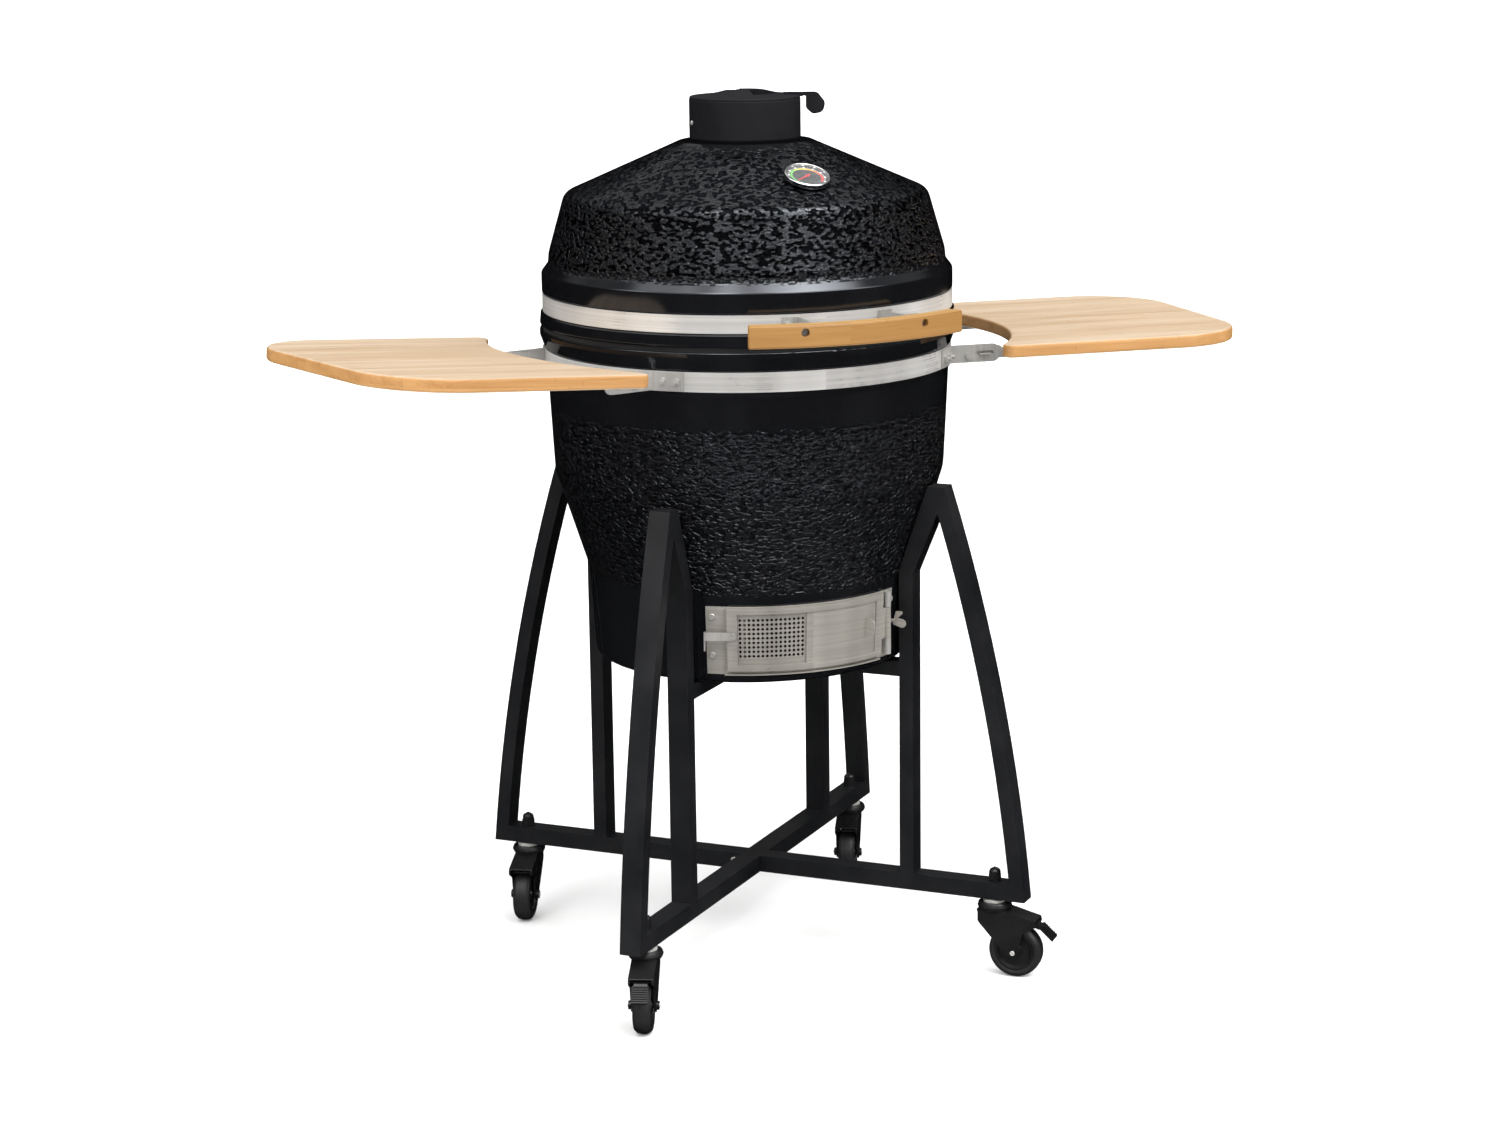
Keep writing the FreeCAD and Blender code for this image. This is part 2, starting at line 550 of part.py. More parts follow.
# ---- thermometer ------------------------------------------------------------------
def thermo_placed(shape):
    """Built along +Z about the dial's seat, laid on the front of the cone."""
    copy = shape.copy()
    copy.rotate(CENTRE, V(1, 0, 0), 90 - THERMO_TILT)
    cone = (DOME_TOP_Z - SHOULDER_Z) / (SHOULDER_R - DOME_TOP_R)
    z = DOME_TOP_Z - (THERMO_R - DOME_TOP_R) * cone
    copy.translate(V(0, -THERMO_R, z))
    return spun(copy, FITTING_TURN)


def make_thermometer():
    r = THERMO_FACE_R
    case = revolved([(0, 0.4), (r - 6, 0.4), (r - 3, 0.9), (r, 4, 1), (r, 9, 1.5), (r - 2.6, 10.5, 1),
                     (r - 3.2, 9), (r - 3.2, 5), (0, 5)])
    dial = Part.makeCylinder(r - 3.3, 1.0, V(0, 0, 5.05))
    glass = Part.makeCylinder(r - 3.3, 1.2, V(0, 0, 8.3))
    pivot = rod(1.2, (0, 0, 6.05), (0, 0, 8.1))
    dial = joined([dial, pivot])
    outline = [(-1.3, -6, 0.6), (1.3, -6, 0.6), (0.6, r - 9, 0.25), (-0.6, r - 9, 0.25)]
    needle = joined([flat_plate(outline, 6.8, 0.6), Part.makeCylinder(2.6, 0.8, V(0, 0, 6.8))])
    needle = needle.cut(rod(1.2 + PIN_PLAY, (0, 0, 6), (0, 0, 8.2)))
    needle.rotate(CENTRE, UP, 120)
    stem = joined([rod(3.2, (0, 0, -70), (0, 0, 0.35)), rod(4.4, (0, 0, -20), (0, 0, 0.35))])
    nut = hexagon(10, 5)
    nut.translate(V(0, 0, -37))
    stem = joined([stem, nut])
    for name, shape in (("case", case), ("dial", dial), ("glass", glass), ("needle", needle),
                        ("stem", stem)):
        parts["thermometer_" + name] = thermo_placed(shape)


# ---- top vent ---------------------------------------------------------------------
def vent_openings(z0, z1):
    middles = [VENT_SLOT_BEARING + 360.0 / VENT_SLOTS * i for i in range(VENT_SLOTS)]
    return [band_ring(VENT_SLOT_IN, VENT_SLOT_OUT, z0, z1, m - VENT_SLOT_ANGLE / 2, m + VENT_SLOT_ANGLE / 2)
            for m in middles]


def make_top_vent():
    web_z = VENT_TOP_Z - 7
    housing = revolved([(CHIMNEY_R - 6, DOME_TOP_Z - 16), (CHIMNEY_R - 0.5, DOME_TOP_Z - 16),
                        (CHIMNEY_R - 0.5, DOME_TOP_Z + 0.1), (VENT_R - 3, DOME_TOP_Z + 0.1, 0), (VENT_R,
                                                            DOME_TOP_Z + 4, 2),
                        (VENT_R, VENT_TOP_Z - 0.3, 1.5), (0, VENT_TOP_Z - 0.3), (0, web_z),
                        (VENT_R - VENT_WALL, web_z), (VENT_R - VENT_WALL, DOME_TOP_Z + 8, 3),
                        (CHIMNEY_R - 6, DOME_TOP_Z + 8)])
    housing = drilled(housing, vent_openings(web_z - 2, VENT_TOP_Z + 2)
                      + [rod(3.0 + PIN_PLAY, (0, 0, web_z - 2), (0, 0, VENT_TOP_Z + 1))])
    disc = revolved([(0, VENT_TOP_Z), (VENT_R - 0.5, VENT_TOP_Z), (VENT_R - 0.5, VENT_TOP_Z + 3, 2),
                     (VENT_DOME_R, VENT_TOP_Z + 5, 30), (VENT_DOME_R / 2, VENT_TOP_Z + VENT_DOME_H, 20),
                     (0, VENT_TOP_Z + VENT_DOME_H)])
    disc = drilled(disc, vent_openings(VENT_TOP_Z - 1, VENT_TOP_Z + 2 * VENT_DOME_H))
    pivot = joined([rod(3.0, (0, 0, web_z - 5), (0, 0, VENT_TOP_Z + 1)),
                    rod(6, (0, 0, web_z - 5), (0, 0, web_z - 1.5))])
    top = VENT_TOP_Z + 7
    lever = side_plate([(52, top - 6), (52, top, 1), (98, top, 9), (109, top - 14, 9), (106, top - 27, 9),
                        (92, top - 30, 8), (82.5, top - 22, 8), (82.5, top - 5, 1.5), (78, top - 5, 1.5),
                        (78, top - 6, 0)], -3, 6)
    lever = spun(lever, VENT_LEVER_BEARING - 90)
    parts["top_vent_housing"] = housing
    parts["top_vent_disc"] = joined([disc, pivot, lever])
    return [stood_radially(pan_head(3.2, 2.0), bearing, 1165, VENT_R + 0.02) for bearing in (-91, 89)]


# ---- draft door -----------------------------------------------------------------
def make_draft_door():
    frame = foot_sheet(FIT_GAP, FIT_GAP + SHEET_T, DOOR_Z0, DOOR_Z1, -DOOR_FRAME_HALF, DOOR_FRAME_HALF)
    window = foot_sheet(-5, 10, DOOR_Z0 + RAIL_H + 6, DOOR_Z1 - RAIL_H + 2, -DRAFT_HALF - 0.5,
                        DRAFT_HALF + 0.5)
    sill = foot_sheet(0.6, 9, DOOR_Z0, DOOR_Z0 + SHEET_T, -30.5, 29)
    frame = joined([frame.cut(window), sill])
    screws = []
    for bearing in (-34.8, 35.7):
        for z in (475, 528):
            frame = frame.cut(radial_rod(bearing, z, 200, 240, 2.5 + HOLE_PLAY))
            screws.append(head_screw(bearing, z, foot_r(z) + FIT_GAP, SHEET_T + FIT_GAP))
    parts["draft_frame"] = frame

    low = SHEET_T + 2 * FIT_GAP
    deep = low + 6.2
    rail0 = DOOR_Z0 + 5.5
    rail1 = DOOR_Z1 - 1.0
    edge = PANEL_HALF + CAP_DEG
    bottom = foot_sheet(low, deep, rail0, rail0 + RAIL_H, -edge, edge)
    top = foot_sheet(low, deep, rail1 - RAIL_H, rail1, -edge, edge)
    caps = [foot_sheet(low, deep, rail0, rail1, -edge, -PANEL_HALF),
            foot_sheet(low, deep, rail0, rail1, PANEL_HALF, edge)]
    door = joined([bottom, top] + caps)
    groove0 = rail0 + RAIL_H - 2.6
    groove1 = rail1 - RAIL_H + 2.6
    damper_in = low + 2.9
    damper_out = damper_in + SHEET_T
    door = drilled(door, [foot_sheet(low + 0.4, low + 0.4 + SHEET_T + 0.2, groove0, groove1, -PANEL_HALF,
                                     PANEL_HALF),
                          foot_sheet(damper_in - 0.4, damper_out + 0.4, groove0, groove1, -PANEL_HALF,
                                     PANEL_HALF)])
    pin_r = foot_r(DOOR_Z1) + FIT_GAP + SHEET_T + BARREL_R + 0.4
    barrel_a = outward(HINGE_DEG, pin_r, rail0)
    eye = outward(HINGE_DEG, pin_r, rail0 + 22)
    knuckle = Part.makeCylinder(BARREL_R, rail1 - rail0 - 44, eye)
    leaf = foot_sheet(deep - 2.6, deep - 1.0, rail0 + 22, rail1 - 22, edge - 1.0, HINGE_DEG)
    bore = Part.makeCylinder(2.0 + PIN_PLAY, rail1 - rail0, barrel_a)
    door = joined([door, leaf, knuckle]).cut(bore)
    parts["ash_door"] = door
    screen = foot_sheet(low + 0.5, low + 0.5 + SHEET_T, groove0 + 0.2, groove1 - 0.2, -PANEL_HALF + 0.05,
                        PANEL_HALF - 0.05)
    holes = []
    for i in range(MESH_COLS):
        for k in range(MESH_ROWS):
            z = (DRAFT_Z0 + DRAFT_Z1) / 2 + (k - (MESH_ROWS - 1) / 2) * MESH_PITCH_Z
            holes.append(radial_rod(MESH_FIRST_DEG + i * MESH_PITCH_DEG, z, 215, 235, MESH_HOLE_R))
    parts["ash_screen"] = drilled(screen, holes)

    damper = foot_sheet(damper_in, damper_out, groove0 + 0.5, groove1 - 0.5, DAMPER_FROM, PANEL_HALF - 0.1)
    grip_r = foot_r(495) + damper_out
    grip = side_plate([(grip_r - 0.9, 486), (grip_r + 6, 486), (grip_r + 17, 489, 7),
                       (grip_r + 17, 509, 7), (grip_r + 6, 512),
                       (grip_r - 0.9, 512)], -0.8, 1.6)
    parts["draft_damper"] = joined([damper, spun(grip, 21.5 - 90)])

    seat = foot_r(DOOR_Z1) + deep + FIT_GAP
    arm = flat_plate([(-5, -5.5, 5), (-5, 5.5, 5), (38, 5.5, 1), (38, -5.5, 1)], 0, 1.6)
    hook = block(36.4, 38, -5.5, 20, -5, 1.6)
    lever = joined([arm, hook]).cut(Part.makeCylinder(2.2 + PIN_PLAY, 10, V(0, 0, -2)))
    rivet = joined([Part.makeCylinder(2.2, 3.2, V(0, 0, -1.2)), Part.makeCylinder(4.0, 1.2, V(0, 0, 1.9))])
    placed = []
    for shape in (lever, rivet):
        copy = shape.copy()
        copy.rotate(CENTRE, V(0, 1, 0), 90)
        copy.rotate(CENTRE, V(1, 0, 0), -90)
        placed.append(copy)
    for i, copy in enumerate(placed):
        copy.translate(V(seat, 0, LATCH_Z))
        placed[i] = spun(copy, LATCH_DEG - 90)
    parts["door_latch"] = placed[0]
    parts["ash_door"] = joined([parts["ash_door"], placed[1]])

    leaf_in = FIT_GAP + SHEET_T + 0.05
    leaf_out = FIT_GAP + 2 * SHEET_T
    leaf_low = foot_sheet(leaf_in, leaf_out, rail0, rail0 + 20, HINGE_DEG + 0.8, LEAF_END_DEG)
    leaf_high = foot_sheet(leaf_in, leaf_out, rail1 - 20, rail1, HINGE_DEG + 0.8, LEAF_END_DEG)
    plates = []
    for z0, z1 in ((rail0, rail0 + 21.5), (rail1 - 21.5, rail1)):
        barrel = Part.makeCylinder(BARREL_R, z1 - z0, outward(HINGE_DEG, pin_r, z0))
        strap = foot_sheet(leaf_in, deep - 2, z0, z1, HINGE_DEG + 0.2, HINGE_DEG + 1.2)
        plates += [barrel, strap]
    pin = Part.makeCylinder(2.0, rail1 - rail0, barrel_a)
    parts["ash_door_hinge"] = joined([leaf_low, leaf_high, pin] + plates)
    wing_r = foot_r(498) + FIT_GAP + SHEET_T
    stalk = rod(2.6, (wing_r - 0.8, 0, 497), (wing_r + 9, 0, 497))
    lobes = [side_plate([(wing_r + 6, 492, 1), (wing_r + 26, 487, 6), (wing_r + 26, 499, 5),
                         (wing_r + 10, 502, 1)], -0.9, 1.8),
             side_plate([(wing_r + 6, 494, 1), (wing_r + 14, 502, 1), (wing_r + 24, 511, 2),
                         (wing_r + 11, 511, 2)], -0.9, 1.8)]
    wing = spun(joined([stalk] + lobes), WING_DEG - 90)
    parts["draft_frame"] = joined([parts["draft_frame"], wing])
    return screws


# ---- stand ------------------------------------------------------------------------
def leg_arc_x(z, inset=0.0):
    radius = LEG_ARC_R - inset
    return LEG_ARC_CENTRE_R + math.sqrt(radius ** 2 - (z - LEG_ARC_CENTRE_Z) ** 2)


def mitre_wedge(z0, z1, reach=520.0):
    """The quarter of the floor between the two mitre planes of an arm."""
    face = Part.Face(rounded_wire([(SEAM, 0), (reach, SEAM - reach), (reach, reach - SEAM)],
                                  lambda p: V(p.x, p.y, z0)))
    return face.extrude(V(0, 0, z1 - z0))


def make_stand():
    top = ARM_Z + ARM_H
    z_mid = (top + LEG_TOP_Z) / 2
    outer = Part.Arc(V(leg_arc_x(ARM_Z), 0, ARM_Z), V(leg_arc_x(z_mid), 0, z_mid),
                     V(leg_arc_x(LEG_TOP_Z), 0, LEG_TOP_Z))
    inner = Part.Arc(V(leg_arc_x(LEG_TOP_Z, TUBE), 0, LEG_TOP_Z), V(leg_arc_x(z_mid, TUBE), 0, z_mid),
                     V(leg_arc_x(ARM_Z, TUBE), 0, ARM_Z))
    cap = Part.LineSegment(outer.EndPoint, inner.StartPoint)
    foot = Part.LineSegment(inner.EndPoint, outer.StartPoint)
    leg = Part.Face(Part.Wire([g.toShape() for g in (outer, cap, inner, foot)])).extrude(V(0, TUBE_W, 0))
    leg.translate(V(0, -TUBE_W / 2, 0))

    foot_end = leg_arc_x(ARM_Z, TUBE) - 0.1
    arm = side_plate([(0, ARM_Z), (foot_end, ARM_Z), (leg_arc_x(top, TUBE) - 0.1, top), (0, top)],
                     -TUBE_W / 2, TUBE_W)
    arm = arm.cut(rod(5.0 + HOLE_PLAY, (STEM_R, 0, ARM_Z - 1), (STEM_R, 0, top + 1)))

    strut_in = BOWL_R
    bend_in = POST_R
    post = side_plate([(bend_in, top + 0.1), (bend_in + TUBE, top + 0.1),
                       (bend_in + TUBE, POST_TOP_Z - 3.3),
                       (bend_in, POST_TOP_Z)], -TUBE_W / 2, TUBE_W)
    crotch = 645.0
    strut = side_plate([(bend_in, POST_TOP_Z + 0.1), (bend_in + TUBE, POST_TOP_Z - 3.2),
                        (leg_arc_x(crotch, TUBE) - 0.1, crotch), (leg_arc_x(LEG_TOP_Z, TUBE) - 0.1,
                                                            LEG_TOP_Z),
                        (strut_in, LEG_TOP_Z)], -TUBE_W / 2, TUBE_W)
    cradle = side_plate([(0, CRADLE_TOP_Z - TUBE), (bend_in - 0.1, CRADLE_TOP_Z - TUBE),
                         (bend_in - 0.1, CRADLE_TOP_Z),
                         (0, CRADLE_TOP_Z)], -TUBE_W / 2, TUBE_W)
    cradle = cradle.common(mitre_wedge(CRADLE_TOP_Z - TUBE - 1, CRADLE_TOP_Z + 1))
    for name, shape in (("stand_legs", leg), ("stand_posts", post), ("stand_struts", strut),
                        ("stand_cradle", cradle)):
        parts[name] = Part.makeCompound([spun(shape, b - 90) for b in CASTER_BEARINGS.values()])
    halves = {"left": ("fl", "bl"), "right": ("fr", "br")}
    arms = []
    for names in halves.values():
        vee = joined([spun(arm, CASTER_BEARINGS[n] - 90) for n in names])
        side = -1 if CASTER_BEARINGS[names[0]] < 0 else 1
        far = STEM_R * side
        arms.append(vee.common(block(min(far, side * SEAM), max(far, side * SEAM), -STEM_R, STEM_R, ARM_Z,
                                     top)))
    reach = TUBE_W / math.sqrt(2) + 8.0
    hole = rod(4.0 + HOLE_PLAY, (-reach, 0, ARM_Z + ARM_H / 2), (reach, 0, ARM_Z + ARM_H / 2))
    arms = [a.cut(hole) for a in arms]
    parts["stand_floor_cross"] = Part.makeCompound(arms)
    z = ARM_Z + ARM_H / 2
    bolt = [rod(4.0, (-reach, 0, z), (reach, 0, z)), rod(7.5, (-reach - 4, 0, z), (-reach, 0, z)),
            rod(7.5, (reach, 0, z), (reach + 5, 0, z))]
    parts["stand_bolt"] = joined(bolt)


# ---- casters ----------------------------------------------------------------------
def make_caster(corner):
    fork_y = WHEEL_W / 2 + 2.0
    head = revolved([(5.0 + PIN_PLAY, 94), (22, 94, 2), (24, 99, 2), (22, 104.5, 2),
                     (5.0 + PIN_PLAY, 104.5)])
    cheeks = []
    outline = [(-20, 95.5), (18, 95.5), (62, 84, 3), (63, 76, 3), (44, 66, 8), (38, 34, 8),
               (TRAIL, 26, 6), (20, 34, 8), (-20, 78, 8)]
    for side in (-1, 1):
        cheeks.append(side_plate(outline, side * (fork_y + 1.25) - 1.25, 2.5))
    roof = side_plate([(-21, 95.5), (18, 95.5), (62, 84, 1), (61.5, 81.5, 1), (18, 92.5), (-21, 92.5)],
                      -fork_y - 2.5, 2 * fork_y + 5)
    roof = roof.cut(rod(5.0 + PIN_PLAY, (0, 0, 80), (0, 0, 120)))
    axle = [rod(4.0, (TRAIL, -fork_y - 4, WHEEL_R), (TRAIL, fork_y + 4, WHEEL_R)),
            rod(6.0, (TRAIL, -fork_y - 6, WHEEL_R), (TRAIL, -fork_y - 2.4, WHEEL_R)),
            rod(6.0, (TRAIL, fork_y + 2.4, WHEEL_R), (TRAIL, fork_y + 6, WHEEL_R))]
    axle.append(rod(1.8, (PEDAL_X, -fork_y - 3, PEDAL_Z), (PEDAL_X, fork_y + 3, PEDAL_Z)))
    fork = joined([head, roof] + cheeks + axle)
    half = WHEEL_W / 2
    hub = revolved([(4.0 + PIN_PLAY, -half), (9, -half), (10, -half + 2.5), (24, -half + 3.5),
                    (26, -half + 1), (28, -half + 1),
                    (28, half - 1), (26, half - 1), (24, half - 3.5), (10, half - 2.5), (9,
                                                            half), (4.0 + PIN_PLAY, half)])
    tyre = revolved([(28.02, -half + 1), (30, -half), (WHEEL_R - 7, -half, 2), (WHEEL_R, -half + 6, 6),
                     (WHEEL_R, half - 6, 6),
                     (WHEEL_R - 7, half, 2), (30, half), (28.02, half - 1)])
    wheel = Part.makeCompound([hub, tyre])
    wheel.rotate(CENTRE, V(1, 0, 0), 90)
    wheel.translate(V(TRAIL, 0, WHEEL_R))
    pieces = {"fork": fork, "wheel": wheel}
    if corner in BRAKED:
        link = side_plate([(47, 79, 2), (63, 78.5, 2), (67, 74, 2), (66, 71, 1), (60, 73, 2),
                           (47, 74, 2)], -9, 18)
        tread = side_plate([(64, 75.5, 1), (68, 77, 1), (87, 60, 2), (85, 56.5, 1)], -11, 22)
        ear = rod(3.6, (PEDAL_X, -9, PEDAL_Z), (PEDAL_X, 9, PEDAL_Z))
        bore = rod(1.8 + PIN_PLAY, (PEDAL_X, -10, PEDAL_Z), (PEDAL_X, 10, PEDAL_Z))
        pieces["pedal"] = joined([link, tread, ear]).cut(bore)
    centre = outward(CASTER_BEARINGS[corner], STEM_R, 0)
    for name, shape in pieces.items():
        copy = spun(shape, CASTER_TURNS[corner])
        copy.translate(centre)
        parts["caster_%s_%s" % (corner, name)] = copy


def make_stems():
    top = ARM_Z + ARM_H
    stem = joined([rod(5.0, (0, 0, 88), (0, 0, top + 12)), rod(9.0, (0, 0, 88), (0, 0, 91.5)),
                   revolved([(0, 104.8), (16, 104.8), (16, ARM_Z - 2), (12, ARM_Z - 0.1),
                             (0, ARM_Z - 0.1)])])
    nut = joined([hexagon(9.5, 10), revolved([(0, 9.5), (8.2, 9.5), (8.0, 16, 5), (0, 20.5, 0)])])
    nut = nut.cut(rod(5.0, (0, 0, -1), (0, 0, 12.0)))
    nut.translate(V(0, 0, top + 0.05))
    stems, nuts = [], []
    for bearing in CASTER_BEARINGS.values():
        spot = outward(bearing, STEM_R, 0)
        for source, target in ((stem, stems), (nut, nuts)):
            copy = source.copy()
            copy.translate(spot)
            target.append(copy)
    parts["caster_stems"] = Part.makeCompound(stems)
    parts["caster_nuts"] = Part.makeCompound(nuts)


# ---- build --------------------------------------------------------------------------
def main():
    make_ceramics()
    make_fire_parts()
    make_bands()
    low_studs, high_studs = make_lid_hinge()
    shelf_studs = make_shelves()
    handle_studs, handle_bolts = make_handle()
    make_thermometer()
    vent_screws = make_top_vent()
    parts["top_vent_screws"] = Part.makeCompound(vent_screws)
    parts["draft_frame_screws"] = Part.makeCompound(make_draft_door())
    parts["base_band_studs"] = Part.makeCompound([stud_and_nut(*s) for s in low_studs + shelf_studs])
    parts["lid_band_studs"] = Part.makeCompound([stud_and_nut(*s) for s in high_studs + handle_studs])
    parts["handle_bolts"] = Part.makeCompound(handle_bolts)
    make_stand()
    make_stems()
    for corner in CASTER_BEARINGS:
        make_caster(corner)

    os.makedirs("parts", exist_ok=True)
    for name, shape in parts.items():
        shape.exportStep("parts/%s.step" % name)
    box = Part.makeCompound(list(parts.values())).BoundBox
    print("%d nodes, box x %.1f %.1f y %.1f %.1f z %.1f %.1f" % (
        len(parts), box.XMin, box.XMax, box.YMin, box.YMax, box.ZMin, box.ZMax))
    for name, shape in sorted(parts.items()):
        if not shape.isValid() or not shape.Solids:
            print("CHECK", name, shape.isValid(), len(shape.Solids))


main()
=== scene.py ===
"""Looks of a kamado ceramic grill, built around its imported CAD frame."""

import logging
import math
from dataclasses import dataclass, field
from enum import Enum

import bpy
import numpy as np
from mathutils import Matrix, Vector

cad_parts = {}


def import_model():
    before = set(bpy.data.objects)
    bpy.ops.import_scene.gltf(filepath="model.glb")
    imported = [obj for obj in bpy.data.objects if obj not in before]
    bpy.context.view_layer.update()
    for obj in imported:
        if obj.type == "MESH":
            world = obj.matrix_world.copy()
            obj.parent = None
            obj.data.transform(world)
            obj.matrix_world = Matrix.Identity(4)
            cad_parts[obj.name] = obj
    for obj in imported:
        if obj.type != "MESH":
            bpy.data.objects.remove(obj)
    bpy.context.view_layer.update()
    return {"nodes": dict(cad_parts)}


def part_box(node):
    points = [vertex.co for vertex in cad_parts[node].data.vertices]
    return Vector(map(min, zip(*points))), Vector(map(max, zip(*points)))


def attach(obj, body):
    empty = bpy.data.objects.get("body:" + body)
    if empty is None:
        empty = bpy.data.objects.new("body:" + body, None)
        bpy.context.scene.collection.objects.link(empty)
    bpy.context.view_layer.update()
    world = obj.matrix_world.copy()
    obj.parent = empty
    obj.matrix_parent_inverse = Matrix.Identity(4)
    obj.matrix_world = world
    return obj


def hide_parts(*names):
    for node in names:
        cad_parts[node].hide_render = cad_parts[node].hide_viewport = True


LOG = logging.getLogger("kamado")
MM = 0.001
TAU = 2 * math.pi

# Heights between which the glaze is dimpled, in metres.
DOME_DIMPLES = (0.981, 1.133)
BOWL_DIMPLES = (0.562, 0.782)

# Laminated bamboo, in metres: width of a strip, height of a layer, run between knuckles.
STRIP = 0.020
LAYER = 0.0061
KNUCKLE = 0.30


class Heading(Enum):
    """Turns about Z, in degrees, that several pieces share."""

    FITTINGS = 4.3
    LEFT_SHELF = 193.3
    RIGHT_SHELF = -4.7


# How far each fork is turned about its stem, in degrees.
CASTER_TURNS = {"fl": -116.0, "fr": -42.0, "bl": -120.0, "br": -118.0}


# ---------------------------------------------------------------- node trees
class Tree:
    """Shorthand for filling a node tree."""

    def __init__(self, tree: bpy.types.NodeTree) -> None:
        self.tree = tree

    def node(self, kind: str, inputs: dict | None = None, **settings) -> bpy.types.Node:
        """Adds a node.

        Args:
            kind: Node type without its ShaderNode prefix.
            inputs: Socket name or index to a value or another node's output.
            **settings: Properties of the node.

        Returns:
            The node.
        """
        made = self.tree.nodes.new(kind if kind.startswith("Node") else "ShaderNode" + kind)
        for name, value in settings.items():
            setattr(made, name, value)
        for name, value in (inputs or {}).items():
            if isinstance(value, bpy.types.NodeSocket):
                self.tree.links.new(value, made.inputs[name])
            else:
                made.inputs[name].default_value = value
        return made

    def math(self, operation: str, a, b=0.0, c=0.0) -> bpy.types.NodeSocket:
        """One Math node; returns its output."""
        return self.node("Math", {0: a, 1: b, 2: c}, operation=operation).outputs[0]

    def from_middle(self, value) -> bpy.types.NodeSocket:
        """How far a value's fraction is from one half, which repeats with each whole number."""
        return self.math("ABSOLUTE", self.math("SUBTRACT", self.math("FRACT", value), 0.5))

    def band(self, value, low: float, high: float, soft: float) -> bpy.types.NodeSocket:
        """1 between low and high, fading to 0 over soft at each end."""
        rise, fall = (self.node("MapRange", {0: value, 1: edge - soft, 2: edge + soft},
                                interpolation_type="SMOOTHSTEP").outputs[0] for edge in (low, high))
        return self.math("SUBTRACT", rise, fall)

    def remap(self, value, low: float, high: float, to_low: float, to_high: float) -> bpy.types.NodeSocket:
        """A smooth map from one span of values to another."""
        made = self.node("MapRange", {0: value, 1: low, 2: high, 3: to_low, 4: to_high},
                         interpolation_type="SMOOTHSTEP")
        return made.outputs[0]

    def ramp(self, value, stops: list[tuple[float, tuple[float, float, float]]]) -> bpy.types.NodeSocket:
        """A colour ramp through (place, colour) stops."""
        made = self.node("ValToRGB", {0: value})
        ramp = made.color_ramp
        while len(ramp.elements) < len(stops):
            ramp.elements.new(0.5)
        for element, (place, colour) in zip(ramp.elements, stops):
            element.position = place
            element.color = (*colour, 1.0)
        return made.outputs[0]

    def noise(self, vector, scale: float, detail: float = 2.0, rough: float = 0.5) -> bpy.types.NodeSocket:
        """Noise texture value about 0.5."""
        return self.node("TexNoise", {"Vector": vector, "Scale": scale, "Detail": detail,
                                      "Roughness": rough}).outputs[0]

    def stretch(self, vector, scale: tuple[float, float, float],
                turn: tuple[float, float, float] = (0, 0, 0)) -> bpy.types.NodeSocket:
        """Scales, then turns, a vector."""
        return self.node("Mapping", {"Vector": vector, "Rotation": turn, "Scale": scale}).outputs[0]


def shader_group(name: str, outputs: list[tuple[str, str]]
                 ) -> tuple[bpy.types.NodeTree, Tree, bpy.types.NodeSocket]:
    """An empty shader node group with one Vector input.

    Args:
        name: Name of the group.
        outputs: Label and socket type of each output.

    Returns:
        The group, its Tree, and its input node's Vector socket, in that order.
    """
    group = bpy.data.node_groups.new(name, "ShaderNodeTree")
    group.interface.new_socket("Vector", in_out="INPUT", socket_type="NodeSocketVector")
    for label, kind in outputs:
        group.interface.new_socket(label, in_out="OUTPUT", socket_type=kind)
    tree = Tree(group)
    source = tree.node("NodeGroupInput").outputs["Vector"]
    return group, tree, source


def close_group(tree: Tree, values: dict) -> None:
    """Joins a group's outputs."""
    tree.node("NodeGroupOutput", values)


FLOAT = "NodeSocketFloat"
COLOUR = "NodeSocketColor"


